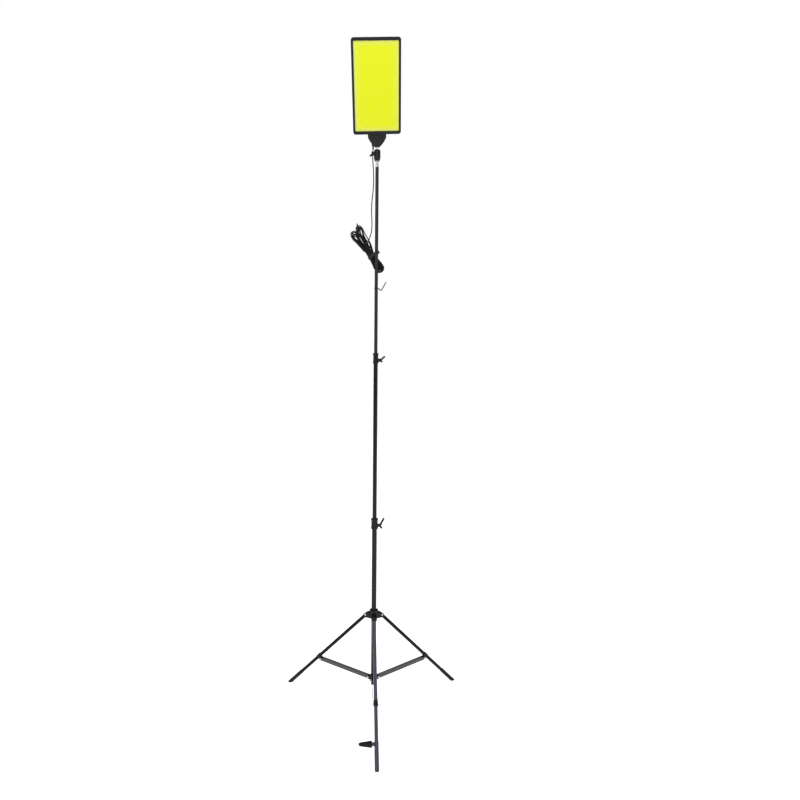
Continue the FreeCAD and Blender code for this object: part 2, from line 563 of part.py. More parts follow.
def ball_head():
    socket_r = BALL_R + RUN_FIT + LINER_THICK + RUN_FIT
    mouth_h = HEAD_BODY_R / math.tan(math.radians(MOUTH_ANGLE))
    body = turned([
        (0, SPIGOT_TOP + 0.1), (8.5, SPIGOT_TOP + 0.1), (9.5, SPIGOT_TOP + 1), (HEAD_BODY_R, SPIGOT_TOP + 10),
        (HEAD_BODY_R, BALL_Z + 1), (HEAD_BODY_R - 0.6, BALL_Z + 3.4), (HEAD_BODY_R - 1.6, BALL_Z + mouth_h + 1),
        (0, BALL_Z + mouth_h + 1),
    ])
    mouth = turned([(0, 0), (30, 30 / math.tan(math.radians(MOUTH_ANGLE))), (30, 40), (0, 40)])
    body = body.cut(rod(PIN_STUD_R, V(0, 0, SPIGOT_TOP - 1), Z, STUD_LENGTH + 2))
    out = V(math.cos(math.radians(BALL_KNOB_ANGLE)), math.sin(math.radians(BALL_KNOB_ANGLE)), 0)
    boss = rod(5.4, V(0, 0, BALL_KNOB_Z) + out * (PAD_R + 1), out, HEAD_BODY_R + 1.6 - PAD_R)
    body = body.fuse(boss).removeSplitter()
    body = body.cut(rod(2.5 + RUN_FIT, V(0, 0, BALL_KNOB_Z) + out * 3, out, 30))
    body = body.cut(mouth.translated(V(0, 0, BALL_Z)))
    body = body.cut(Part.makeSphere(socket_r, V(0, 0, BALL_Z)))
    body = body.cut(rod(PAD_R + SEAT, V(0, 0, SPIGOT_TOP + 12), Z, 20))
    save("ball_head_body", body)

    pad = rod(PAD_R, V(0, 0, SPIGOT_TOP + 12.1), Z, 20)
    save("pressure_pad", pad.cut(Part.makeSphere(BALL_R + RUN_FIT, V(0, 0, BALL_Z))).Solids[0])

    tip = PAD_R + GAP
    knob = wing_knob(22.0, 7.0, HEAD_BODY_R + 3.2 - tip, 2.5, 40.0)
    knob.rotate(O, X, 190)
    save("ball_head_knob", placed(knob, V(0, 0, BALL_KNOB_Z) + out * tip, out))

    inner = BALL_R + RUN_FIT
    outer = inner + LINER_THICK
    top = math.radians(88)
    low = math.radians(120)
    middle = (top + low) / 2

    def at(radius, angle):
        return V(radius * math.sin(angle), 0, radius * math.cos(angle))

    edges = [
        Part.Arc(at(inner, top), at(inner, middle), at(inner, low)).toShape(),
        Part.LineSegment(at(inner, low), at(outer, low)).toShape(),
        Part.Arc(at(outer, low), at(outer, middle), at(outer, top)).toShape(),
        Part.LineSegment(at(outer, top), at(inner, top)).toShape(),
    ]
    liner = Part.Face(Part.Wire(edges)).revolve(O, Z, 360)
    save("ball_liner", liner.translated(V(0, 0, BALL_Z)))

    ball = Part.makeSphere(BALL_R)
    neck = turned([(0, 0), (NECK_R, 0), (NECK_R, NECK_TOP), (PIN_STUD_R - RUN_FIT, NECK_TOP),
                   (PIN_STUD_R - RUN_FIT, STUD_TOP - 1), (PIN_STUD_R - 1, STUD_TOP), (0, STUD_TOP)])
    save("ball_stem", on_head(ball.fuse(neck).removeSplitter()))
    ring = turned([(PIN_STUD_R + SEAT, NECK_TOP + 0.1), (6.4, NECK_TOP + 0.1), (7.0, NECK_TOP + 0.6),
                   (7.0, RING_TOP - 0.6), (6.4, RING_TOP), (PIN_STUD_R + SEAT, RING_TOP)])
    save("lock_ring", on_head(ring))


PAD_R = 5.0
GLAND_X = -15.5
GLAND_Z = 26.0
SCREW_XS = (-27.0, 27.0)
SCREW_Y = 3.0           # depth of the bracket screws, inside the rear shell


def bracket_outline(y):
    """Half-round shield, wide at the panel's edge and narrowing to a blunt tip."""
    half = BRACKET_WIDTH / 2
    top = PANEL_LOW - 0.05
    shoulder = top - 12
    tip = 8.5
    return [
        Part.LineSegment(V(-half, y, top), V(half, y, top)).toShape(),
        Part.LineSegment(V(half, y, top), V(half, y, shoulder)).toShape(),
        Part.Arc(V(half, y, shoulder), V(half * 0.66, y, shoulder - 19), V(tip, y, BRACKET_LOW)).toShape(),
        Part.LineSegment(V(tip, y, BRACKET_LOW), V(-tip, y, BRACKET_LOW)).toShape(),
        Part.Arc(V(-tip, y, BRACKET_LOW), V(-half * 0.66, y, shoulder - 19), V(-half, y, shoulder)).toShape(),
        Part.LineSegment(V(-half, y, shoulder), V(-half, y, top)).toShape(),
    ]


def lamp_bracket():
    depth = BRACKET_HALF_DEPTH
    body = Part.Face(Part.Wire(bracket_outline(-depth))).extrude(V(0, 2 * depth, 0))
    rims = [e for e in body.Edges if abs(e.tangentAt(e.FirstParameter).y) < 0.1
            and e.BoundBox.ZMax < PANEL_LOW - 1]
    body = body.makeChamfer(1.2, rims)
    body = body.fuse(rod(GLAND_BOSS_R, V(GLAND_X, 0, GLAND_BOSS_LOW), Z, 16)).removeSplitter()
    body = body.cut(rod(NUT_R + SEAT, V(0, 0, BRACKET_LOW - 1), Z, NUT_TOP - BRACKET_LOW + 1))
    for x in SCREW_XS:
        body = body.cut(rod(3.4, V(x, SCREW_Y, 0), Z, PANEL_LOW - 6))
        body = body.cut(rod(1.6 + SEAT, V(x, SCREW_Y, 0), Z, PANEL_LOW + 10))
    body = body.cut(rod(WIRE_WAY_R, V(GLAND_X, 0, GLAND_Z), Z, 60))
    body = body.cut(rod(GLAND_R + SEAT, V(GLAND_X, 0, 0), Z, GLAND_Z + 6))
    body = body.cut(rod(GLAND_FLANGE_R + GAP, V(GLAND_X, 0, 0), Z, GLAND_BOSS_LOW))
    save("mount_bracket", on_head(body))

    nut = pipe(NUT_R, PIN_STUD_R + SEAT, V(0, 0, RING_TOP + 0.3), Z, NUT_TOP - RING_TOP - 0.5)
    save("tripod_nut", on_head(nut))
    screws = []
    for x in SCREW_XS:
        head = rod(3.2, V(x, SCREW_Y, PANEL_LOW - 8.6), Z, 2.5)
        shank = rod(1.6, V(x, SCREW_Y, PANEL_LOW - 7), Z, 16)
        screws.append(on_head(head.fuse(shank).removeSplitter()))
    save("bracket_screws", *screws)
    gland = turned([(CORD_R + SEAT, GLAND_LOW), (3.0, GLAND_LOW), (3.4, GLAND_LOW + 5), (GLAND_FLANGE_R, GLAND_LOW + 5.5),
                    (GLAND_FLANGE_R, GLAND_BOSS_LOW - 0.05), (GLAND_R, GLAND_BOSS_LOW - 0.05), (GLAND_R, GLAND_Z + 5.9),
                    (CORD_R + SEAT, GLAND_Z + 5.9)])
    save("cable_gland", on_head(gland.translated(V(GLAND_X, 0, 0))))


GLAND_R = 3.3
GLAND_FLANGE_R = 4.4
GLAND_LOW = 12.0
GLAND_BOSS_LOW = 20.0
GLAND_BOSS_R = 5.4
WIRE_WAY_R = 1.6
NUT_R = 5.5
NUT_TOP = 30.0


def lamp_panel():
    low = PANEL_LOW
    front = PANEL_FRONT
    coat_front = front + LENS_RECESS
    board_front = coat_front + COAT_THICK
    board_back = board_front + BOARD_THICK
    inner_w = PANEL_WIDTH - 2 * SHELL_WALL
    inner_h = PANEL_HEIGHT - 2 * SHELL_WALL
    inner_corner = PANEL_CORNER - SHELL_WALL

    outer = rounded_slab(PANEL_WIDTH, PANEL_HEIGHT, PANEL_CORNER, front, PANEL_SPLIT, low)
    front_rim = [e for e in outer.Edges if e.BoundBox.YMax < front + 0.01]
    outer = outer.makeFillet(1.4, front_rim)
    window = rounded_slab(PANEL_WIDTH - 2 * SIDE_BORDER, PANEL_HEIGHT - 2 * END_BORDER, 3.0,
                          front - 5, coat_front + 1, low + END_BORDER)
    pocket = rounded_slab(inner_w, inner_h, inner_corner, coat_front, PANEL_SPLIT + 5, low + SHELL_WALL)
    save("panel_bezel", on_head(outer.cut(window).cut(pocket)))

    def layer(margin, y0, y1):
        return rounded_slab(inner_w - 2 * margin, inner_h - 2 * margin, inner_corner - margin, y0, y1,
                            low + SHELL_WALL + margin)

    save("phosphor_coat", on_head(layer(1.5, coat_front + 0.05, board_front)))
    screws = [(x, z) for z in (low + 14, low + PANEL_HEIGHT / 2, low + PANEL_HEIGHT - 14)
              for x in (-PANEL_WIDTH / 2 + 13, PANEL_WIDTH / 2 - 13)]
    board = layer(0.5, board_front, board_back)
    shell = rounded_slab(PANEL_WIDTH, PANEL_HEIGHT, PANEL_CORNER, PANEL_SPLIT, PANEL_BACK, low)
    back_rim = [e for e in shell.Edges if e.BoundBox.YMin > PANEL_BACK - 0.01]
    shell = shell.makeFillet(1.4, back_rim)
    hollow = rounded_slab(inner_w, inner_h, inner_corner, PANEL_SPLIT - 5, PANEL_BACK - SHELL_WALL,
                          low + SHELL_WALL)
    shell = shell.cut(hollow)
    fin_low = low + 60
    fin_high = low + PANEL_HEIGHT - 22
    pitch = (PANEL_WIDTH - 40) / (FIN_COUNT - 1)
    fins = []
    for i in range(FIN_COUNT):
        x = -PANEL_WIDTH / 2 + 20 + i * pitch
        fins.append(block(V(x - FIN_THICK / 2, PANEL_BACK - 0.5, fin_low),
                          V(x + FIN_THICK / 2, PANEL_BACK + FIN_HEIGHT, fin_high)))
    posts = []
    for x, z in screws:
        posts.append(rod(3.5, V(x, board_back, z), Y, PANEL_BACK - 1 - board_back))
    feet = [block(V(x - 5, PANEL_SPLIT + 0.3, low + 1), V(x + 5, PANEL_BACK - 1, low + 14)) for x in SCREW_XS]
    shell = shell.fuse(fins + posts + feet).removeSplitter()
    screw_solids = []
    for x, z in screws:
        shell = shell.cut(rod(1.5 + SEAT, V(x, board_back - 5, z), Y, 30))
        shell = shell.cut(rod(2.8 + SEAT, V(x, PANEL_BACK - 1.6, z), Y, 10))
        board = board.cut(rod(1.5 + SEAT, V(x, -20, z), Y, 30))
        head = rod(2.8, V(x, PANEL_BACK - 1.6, z), Y, 1.5)
        shank = rod(1.5, V(x, board_front + 0.1, z), Y, PANEL_BACK - 1.5 - board_front)
        screw_solids.append(on_head(head.fuse(shank).removeSplitter()))
    for x in SCREW_XS:
        shell = shell.cut(rod(1.6 + SEAT, V(x, SCREW_Y, low - 5), Z, 16))
    button_x, button_z = PANEL_WIDTH / 2 - 40, low + 36
    shell = shell.cut(rod(BUTTON_R + 0.1, V(button_x, -5, button_z), Y, 30))
    shell = shell.cut(rod(WIRE_WAY_R, V(GLAND_X, 0, low - 5), Z, 16))
    save("rear_shell", on_head(shell))
    save("led_board", on_head(board))
    save("panel_screws", *screw_solids)

    board_y = board_back + 1.2
    driver = block(V(-28, board_y, low + 22), V(28, board_y + 1.2, low + 54))
    parts = [
        block(V(-24, board_y + 1.21, low + 26), V(-12, board_y + 6.2, low + 38)),
        rod(3.0, V(-4, board_y + 1.21, low + 32), Y, 4.4),
        rod(3.0, V(4, board_y + 1.21, low + 32), Y, 4.4),
        block(V(12, board_y + 1.21, low + 28), V(20, board_y + 3.2, low + 34)),
        block(V(-10, board_y + 1.21, low + 42), V(-2, board_y + 2.6, low + 48)),
    ]
    switch_back = PANEL_BACK - SHELL_WALL - 4.0
    switch = block(V(button_x - 6, board_back + 0.3, button_z - 6), V(button_x + 6, switch_back, button_z + 6))
    save("driver_board", *[on_head(p) for p in [driver, switch] + parts])
    button = rod(BUTTON_R, V(button_x, switch_back + BUTTON_TRAVEL + 0.3, button_z), Y,
                 PANEL_BACK + 2.2 - switch_back - BUTTON_TRAVEL - 0.3)
    flange = rod(BUTTON_R + 1.2, V(button_x, switch_back + BUTTON_TRAVEL + 0.3, button_z), Y, 1.2)
    save("power_button", on_head(button.fuse(flange).removeSplitter()))


# ---- cord -----------------------------------------------------------------------------------
HANK_TOP = V(-81, 17.5, 1841)
HANK_END = V(21, 17.5, 1663)
HANK_THICK = 18.0
HANK_WAIST = 124.0      # from the hank's upper end, along it
HANK_WAIST_R = 14.5
TIE_Z = 1728.0
TIE_ROOM = 1.6          # between the bundle and its tie
TIE_HEIGHT = 22.0
TIE_THICK = 1.6
PLUG_R = 4.6

CORD_POINTS = [
    V(-17.0, 2.6, 2121), V(-16.9, 9.0, 2102), V(-14.6, 10.6, 2074),
    V(-12.6, 8.6, 2036), V(-13.2, 7.6, 1990), V(-17.6, 8.2, 1950), V(-20.4, 9.4, 1912),
    V(-18.6, 9.8, 1874), V(-17.4, 10.8, 1842), V(-20.4, 13.0, 1814), V(-30.5, 16.5, 1789),
]


def cord():
    mouth = head_turn().multVec(V(GLAND_X, 0, GLAND_LOW))
    route = [mouth] + CORD_POINTS
    radii = largest_radii(route)
    solid, length = tube_along(route, CORD_R, radii)
    section = math.pi * CORD_R ** 2
    print("cord mouth", mouth)
    print("cord radii", [round(r, 1) for r in radii[1:-1]], "runs",
          [round((b - a).Length, 1) for a, b in zip(route, route[1:])])
    print("cord length", round(length, 1), "volume", round(solid.Volume, 1), "should be", round(section * length, 1))
    save("cord_lead", solid)

    axis = (HANK_END - HANK_TOP).normalize()
    across = V(axis.z, 0, -axis.x)
    length = (HANK_END - HANK_TOP).Length

    def lobe(stations):
        """A flat lobe: a belt round circles given as (along, across, radius)."""
        face = belt_face(stations)
        solid = face.extrude(V(0, 0, HANK_THICK)).translated(V(0, 0, -HANK_THICK / 2))
        rim = [e for e in solid.Edges if abs(abs(e.CenterOfMass.z) - HANK_THICK / 2) < 0.01]
        return solid.makeFillet(5.0, rim)

    waist = (HANK_WAIST, 0.0, HANK_WAIST_R)
    left_lobe = lobe([(26, -20, 15.5), (50, -19, 15.5), waist])
    right_lobe = lobe([(16, 7, 13.0), waist, (64, 6, 14.0)])
    lower_lobe = lobe([waist, (length - 18.5, 1, 18.5)])
    hank = left_lobe.fuse([right_lobe, lower_lobe]).removeSplitter()
    hank = placed(hank, HANK_TOP, axis, Y * -1)
    save("cord_hank", hank)

    tie_at = HANK_TOP + axis * ((HANK_TOP.z - TIE_Z) / -axis.z)
    side = placed_y(axis)
    pole_across = -tie_at.x / side.x
    tie_r = HANK_THICK / 2 + TIE_ROOM
    spread = HANK_WAIST_R + TIE_ROOM - tie_r
    slant = math.tan(axis.getAngle(Z * -1))
    drift = TIE_HEIGHT / 2 * slant + UPPER_TUBE_R / abs(axis.z) - UPPER_TUBE_R
    circles = [
        (-spread, 0, tie_r), (spread, 0, tie_r),
        (pole_across + drift, tie_at.y, UPPER_TUBE_R + SEAT),
        (pole_across - drift, tie_at.y, UPPER_TUBE_R + SEAT),
    ]
    inner = belt_face(circles)
    outer = belt_face([(x, y, r + TIE_THICK) for x, y, r in circles])
    band = outer.extrude(V(0, 0, TIE_HEIGHT)).cut(inner.extrude(V(0, 0, TIE_HEIGHT)))
    band = band.translated(V(0, 0, -TIE_HEIGHT / 2))
    frame = FreeCAD.Matrix(side.x, 0, axis.x, tie_at.x, side.y, -1, axis.y, tie_at.y,
                           side.z, 0, axis.z, tie_at.z, 0, 0, 0, 1)
    band.Placement = FreeCAD.Placement(frame).multiply(band.Placement)
    save("hank_tie", band)

    plug = turned([(0, 0), (3.0, 0), (3.6, 4), (PLUG_R, 6), (PLUG_R, 26), (3.9, 28), (2.75, 28), (2.75, 37.5),
                   (2.3, 38), (1.3, 38), (1.3, 30), (0, 30)], X)
    base = V(-62.0, 30.6, 1822)
    save("cord_plug", placed(plug, base, V(-13, 0, 32)))


def placed_y(axis):
    """The across direction of the hank, level with the panel's width."""
    return V(-axis.z, 0, axis.x)


os.makedirs("parts", exist_ok=True)
column()
upper_column()
legs()
ball_head()
lamp_bracket()
lamp_panel()
cord()
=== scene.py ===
# %% [markdown]
# # An LED panel lamp on a folding stand
# The lamp is rebuilt round its engineering model. Every rigid piece comes from that model and keeps
# its shape, so the work here is the cord, the moulded knobs, the strap, the plug and all the finishes.
# Lengths are metres: the floor is z = 0, the column stands on the origin and the lamp faces -Y.

import json
import math
import random

import bmesh
import bpy
import numpy as np
from mathutils import Matrix, Vector


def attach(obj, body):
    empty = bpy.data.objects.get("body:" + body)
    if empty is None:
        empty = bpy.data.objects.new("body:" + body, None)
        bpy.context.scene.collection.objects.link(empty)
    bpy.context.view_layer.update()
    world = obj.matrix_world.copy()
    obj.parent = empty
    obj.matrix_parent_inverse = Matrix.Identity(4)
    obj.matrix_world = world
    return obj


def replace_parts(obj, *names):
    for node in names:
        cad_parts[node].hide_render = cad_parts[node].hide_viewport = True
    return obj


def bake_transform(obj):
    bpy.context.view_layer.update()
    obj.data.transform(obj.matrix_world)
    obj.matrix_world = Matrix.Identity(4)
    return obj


MM = 0.001
UP = Vector((0, 0, 1))
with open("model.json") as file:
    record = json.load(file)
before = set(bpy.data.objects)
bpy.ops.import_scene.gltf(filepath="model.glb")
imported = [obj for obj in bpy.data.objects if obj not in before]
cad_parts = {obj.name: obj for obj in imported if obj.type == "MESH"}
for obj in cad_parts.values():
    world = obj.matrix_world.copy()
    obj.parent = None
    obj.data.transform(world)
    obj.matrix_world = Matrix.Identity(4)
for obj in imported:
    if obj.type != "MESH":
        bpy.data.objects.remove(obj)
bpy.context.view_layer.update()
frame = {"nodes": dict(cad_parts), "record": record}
nodes = frame["nodes"]

# %% [markdown]
# ## Camera
# A stand two metres tall is best looked at level, from the height of its middle, or its tubes would
# seem to lean together. So the camera stays level and its lens is shifted, as on a view camera. It is
# rolled by less than half a degree, because a real telescopic column never stands quite upright.

# %% Camera
CAMERA_DISTANCE = 2.304
CAMERA_HEIGHT = 1.227
CAMERA_AZIMUTH = math.radians(2.0)
CAMERA_ROLL = math.radians(0.42)
LENS_MM = 27.0
SENSOR_MM = 36.0
LENS_SHIFT = (0.0306, -0.0175)


def level_camera():
    """A level camera on the -Y side, a little towards -X."""
    data = bpy.data.cameras.new("camera")
    data.lens = LENS_MM
    data.sensor_width = SENSOR_MM
    data.shift_x, data.shift_y = LENS_SHIFT
    camera = bpy.data.objects.new("camera", data)
    bpy.context.scene.collection.objects.link(camera)
    forward = Vector((math.sin(CAMERA_AZIMUTH), math.cos(CAMERA_AZIMUTH), 0))
    level = forward.to_track_quat("-Z", "Y").to_matrix().to_4x4()
    place = Matrix.Translation(-CAMERA_DISTANCE * forward + CAMERA_HEIGHT * UP)
    camera.matrix_world = place @ level @ Matrix.Rotation(CAMERA_ROLL, 4, "Z")
    bpy.context.scene.camera = camera
    return camera


print("camera at", [round(v, 3) for v in level_camera().matrix_world.translation])

# %% [markdown]
# ## Light and floor
# The lamp stands in a white studio. Large area lights give the soft streaks that run along the tubes,
# and one overhead is mirrored by the front leg, which leans towards it; the front leg's lighter bluish
# finish carries a painted reflection of it as well. Black paint shows whatever surrounds it, and a
# studio's dark side keeps it black, so the world is white behind the lamp and dimmer where it only
# lights. The standard view transform keeps it white.

# %% Light and floor
WORLD_SEEN = 1.0
WORLD_LIGHTING = 0.16
# Each light's place, its size and its power in watts.
LIGHTS = {
    "key": ((-1.7, -2.2, 2.9), 1.8, 20.0),
    "fill": ((2.3, -1.6, 1.5), 1.4, 9.0),
    "back": ((1.0, 2.3, 2.6), 1.6, 9.0),
    "overhead": ((0.0, -1.2, 3.3), 1.3, 14.0),
}
LIGHTS_AIM = Vector((0, 0, 1.1))


def studio():
    """A world that is white to the camera and dim to the lamp, and four area lights."""
    scene = bpy.context.scene
    scene.view_settings.view_transform = "Standard"
    scene.world = bpy.data.worlds.new("studio")
    scene.world.use_nodes = True
    background = scene.world.node_tree.nodes["Background"]
    background.inputs["Color"].default_value = (1, 1, 1, 1)
    background.inputs["Strength"].default_value = WORLD_LIGHTING
    tree = scene.world.node_tree
    seen = tree.nodes.new("ShaderNodeBackground")
    seen.inputs["Color"].default_value = (1, 1, 1, 1)
    seen.inputs["Strength"].default_value = WORLD_SEEN
    rays = tree.nodes.new("ShaderNodeLightPath")
    mix = tree.nodes.new("ShaderNodeMixShader")
    tree.links.new(rays.outputs["Is Camera Ray"], mix.inputs[0])
    tree.links.new(background.outputs[0], mix.inputs[1])
    tree.links.new(seen.outputs[0], mix.inputs[2])
    tree.links.new(mix.outputs[0], tree.nodes["World Output"].inputs["Surface"])
    for name, (place, size, power) in LIGHTS.items():
        data = bpy.data.lights.new(name, "AREA")
        data.size = size
        data.energy = power
        light = bpy.data.objects.new(name, data)
        light.location = place
        light.rotation_euler = (LIGHTS_AIM - Vector(place)).to_track_quat("-Z", "Y").to_euler()
        scene.collection.objects.link(light)


studio()
print("lights", list(LIGHTS))

# %% [markdown]
# ## Shader arithmetic
# A finish is easier to read as a sum than as a pile of nodes. `Value` wraps one socket, and its
# operators add Math nodes, so `0.4 + 0.1 * cloud` is a graph. Every other node comes from `Graph.node`.

# %% Shader arithmetic
class Value:
    """One output socket of a shader graph, for use in Python sums."""

    def __init__(self, graph, socket):
        self.graph = graph
        self.socket = socket

    def maths(self, operation, first, second):
        inputs = {0: first, 1: second}
        return self.graph.node("ShaderNodeMath", {"operation": operation}, inputs)

    def __add__(self, other):
        return self.maths("ADD", self, other)

    def __sub__(self, other):
        return self.maths("SUBTRACT", self, other)

    def __rsub__(self, other):
        return self.maths("SUBTRACT", other, self)

    def __mul__(self, other):
        return self.maths("MULTIPLY", self, other)

    def __truediv__(self, other):
        return self.maths("DIVIDE", self, other)

    def __pow__(self, other):
        return self.maths("POWER", self, other)

    __radd__ = __add__
    __rmul__ = __mul__

    def sine(self):
        return self.maths("SINE", self, 0.0)

    def size(self):
        return self.maths("ABSOLUTE", self, 0.0)

    def least(self, other):
        return self.maths("MINIMUM", self, other)

    def limited(self):
        """The value held between 0 and 1."""
        return self.maths("MAXIMUM", self.maths("MINIMUM", self, 1.0), 0.0)


class Graph:
    """The node tree of one new material, with its surface shader."""

    def __init__(self, name, **constants):
        self.material = bpy.data.materials.new(name)
        self.material.use_nodes = True
        self.tree = self.material.node_tree
        self.tree.nodes.clear()
        self.output = self.tree.nodes.new("ShaderNodeOutputMaterial")
        self.shader = self.tree.nodes.new("ShaderNodeBsdfPrincipled")
        self.tree.links.new(self.shader.outputs[0], self.output.inputs["Surface"])
        for key, value in constants.items():
            self.feed(self.shader, key.replace("_", " "), value)

    def feed(self, node, key, value):
        if isinstance(value, Value):
            self.tree.links.new(value.socket, node.inputs[key])
        else:
            node.inputs[key].default_value = value

    def node(self, kind, settings=None, inputs=None, output=0):
        """Any node: its settings first, then its sockets' values or links."""
        made = self.tree.nodes.new(kind)
        for key, value in (settings or {}).items():
            setattr(made, key, value)
        for key, value in (inputs or {}).items():
            self.feed(made, key, value)
        return Value(self, made.outputs[output])

    def surface(self, **sockets):
        for key, value in sockets.items():
            self.feed(self.shader, key.replace("_", " "), value)

    def place(self, scale=(1, 1, 1), turn=(0, 0, 0), move=(0, 0, 0)):
        """Object coordinates, turned, scaled and moved."""
        where = self.node("ShaderNodeTexCoord", output="Object")
        inputs = {"Vector": where, "Location": move, "Rotation": turn, "Scale": scale}
        return self.node("ShaderNodeMapping", {}, inputs)

    def noise(self, scale, detail=3.0, place=None, rough=0.5):
        inputs = {"Vector": place or self.place(), "Scale": scale, "Detail": detail,
                  "Roughness": rough}
        return self.node("ShaderNodeTexNoise", {}, inputs)

    def parts(self, vector):
        """The three components of a vector."""
        split = self.node("ShaderNodeSeparateXYZ", {}, {0: vector}).socket.node
        return [Value(self, socket) for socket in split.outputs]

    def blend(self, factor, first, second):
        """A colour between two, by the factor."""
        inputs = {0: factor, 6: (*first, 1), 7: (*second, 1)}
        return self.node("ShaderNodeMix", {"data_type": "RGBA"}, inputs, output=2)

    def bump(self, height, depth):
        inputs = {"Height": height, "Distance": depth, "Strength": 1.0}
        self.surface(Normal=self.node("ShaderNodeBump", {}, inputs))


print("shader arithmetic ready")

# %% [markdown]
# ## Finishes
# Most of the stand is powder-coated tube and moulded plastic. Both are dark, so what the eye reads is
# the sheen: powder coat has a faint orange peel and plastic a fine spark-eroded grain. Each also
# has slow changes of colour and roughness, where hands and shelves have polished it.

# %% Coated and moulded finishes
def coated(name, dark, light, roughness, peel, depth, metallic=0.0, coat=0.0, gloss=0.2):
    """A coat or moulding: two tones in slow clouds, and a fine even texture `peel` metres across."""
    graph = Graph(name, Metallic=metallic, Coat_Weight=coat, Coat_Roughness=0.25,
                  Specular_IOR_Level=gloss)
    clouds = graph.noise(14.0, 4.0)
    grain = graph.noise(1.0 / peel, 2.0)
    rub = graph.noise(75.0, 5.0, rough=0.65)
    tone = (clouds * 0.7 + grain * 0.3).limited()
    low, high = roughness
    graph.surface(Base_Color=graph.blend(tone, dark, light),
                  Roughness=(low + (high - low) * (0.6 * rub + 0.4 * clouds)).limited())
    graph.bump(grain, depth)
    return graph.material


def brushed(name, dark, light, roughness, stretch, depth):
    """Worked metal: the grain is drawn out by the three scales where they are unequal."""
    graph = Graph(name, Metallic=1.0)
    lines = graph.noise(1.0, 4.0, graph.place(scale=stretch), rough=0.6)
    stain = graph.noise(60.0, 4.0)
    low, high = roughness
    graph.surface(Base_Color=graph.blend(stain, dark, light),
                  Roughness=(low + (high - low) * (0.5 * lines + 0.5 * stain)).limited())
    graph.bump(lines, depth)
    return graph.material


finishes = {
    "tube_black": coated("tube powder coat", (0.004, 0.004, 0.005), (0.011, 0.011, 0.013),
                         (0.26, 0.42), 0.0011, 0.00002, coat=0.1),
    "leg_black": coated("leg powder coat", (0.003, 0.003, 0.004), (0.008, 0.008, 0.010),
                        (0.34, 0.5), 0.0012, 0.00002, gloss=0.12),
    # The front leg's finish is a lighter, bluish copy of the leg coat: a painted reflection of the
    # overhead light that the leg leans towards. The levelling foot shares it.
    "front_leg": coated("front leg painted reflection", (0.05, 0.056, 0.082), (0.1, 0.112, 0.16),
                        (0.2, 0.34), 0.0012, 0.00002, coat=0.5),
    # The mast finish is a lighter copy of the tube coat for the upper tube: a painted highlight for the
    # brighter light near the top of the column.
    "mast_painted_highlight": coated("mast coat with painted highlight", (0.018, 0.018, 0.019), (0.036, 0.036, 0.038),
                         (0.26, 0.42), 0.0011, 0.00002, coat=0.1),
    "brace_grey": coated("brace paint", (0.075, 0.076, 0.08), (0.12, 0.121, 0.126),
                         (0.3, 0.5), 0.0009, 0.00002, metallic=0.35),
    "moulded_black": coated("moulded grain", (0.009, 0.008, 0.010), (0.019, 0.018, 0.021),
                            (0.38, 0.58), 0.0006, 0.00004),
    "knob_black": coated("knob grain", (0.008, 0.008, 0.010), (0.018, 0.018, 0.021),
                         (0.34, 0.55), 0.0005, 0.00004),
    "foot_rubber": coated("foot rubber", (0.009, 0.009, 0.010), (0.02, 0.02, 0.021),
                          (0.55, 0.8), 0.0008, 0.00008),
    "bezel_black": coated("bezel satin", (0.008, 0.008, 0.008), (0.016, 0.016, 0.017),
                          (0.32, 0.48), 0.0005, 0.00002),
    "nylon_white": coated("nylon", (0.62, 0.62, 0.58), (0.76, 0.76, 0.73),
                          (0.4, 0.55), 0.0012, 0.00003),
    "button_grey": coated("button cap", (0.2, 0.2, 0.21), (0.28, 0.28, 0.29),
                          (0.4, 0.6), 0.0005, 0.00003),
    "board_white": coated("solder mask", (0.72, 0.72, 0.7), (0.84, 0.84, 0.81),
                          (0.25, 0.4), 0.002, 0.00001),
    "rivet_steel": brushed("rivet steel", (0.5, 0.5, 0.52), (0.68, 0.68, 0.7), (0.2, 0.4),
                           (900, 900, 900), 0.00001),
    "hook_steel": brushed("hook wire", (0.05, 0.05, 0.053), (0.1, 0.1, 0.105), (0.3, 0.5),
                          (1500, 1500, 300), 0.00001),
    "screw_steel": brushed("screw steel", (0.25, 0.25, 0.26), (0.4, 0.4, 0.41), (0.25, 0.45),
                           (1800, 1800, 1800), 0.00001),
    "chrome": brushed("ball chrome", (0.72, 0.72, 0.74), (0.82, 0.82, 0.84), (0.06, 0.16),
                      (500, 500, 500), 0.000002),
    "brass": brushed("brass", (0.62, 0.46, 0.18), (0.76, 0.6, 0.28), (0.2, 0.4),
                     (700, 700, 2500), 0.00001),
}
print("finishes", len(finishes))

# %% [markdown]
# ## Turned and finned metal
# The spigot is turned on a lathe, so its marks are rings across its axis. The back of the panel is an
# anodised casting whose sheen runs with the fins. A sine of the height gives even rings.

# %% Spigot, shell, circuit board
HEAD_TILT = math.radians(25.5)
HEAD_LEAN = math.radians(2.3)
BALL_CENTRE = Vector((0, 0, 2127.0)) * MM
LATHE_FEED = 0.0004
HEAD_TURN = Matrix.Rotation(-HEAD_LEAN, 3, "Y") @ Matrix.Rotation(HEAD_TILT, 3, "X")
HEAD_FRAME = Matrix.Translation(BALL_CENTRE) @ HEAD_TURN.to_4x4()
TURN = 2 * math.pi


def head_place(graph, scale=(1, 1, 1)):
    """Object coordinates in the tilted panel's own frame: x across it, y through it, z up it."""
    back = HEAD_TURN.inverted()
    flat = graph.place(turn=back.to_euler("XYZ"), move=-(back @ BALL_CENTRE))
    return graph.node("ShaderNodeVectorMath", {"operation": "MULTIPLY"}, {0: flat, 1: scale})


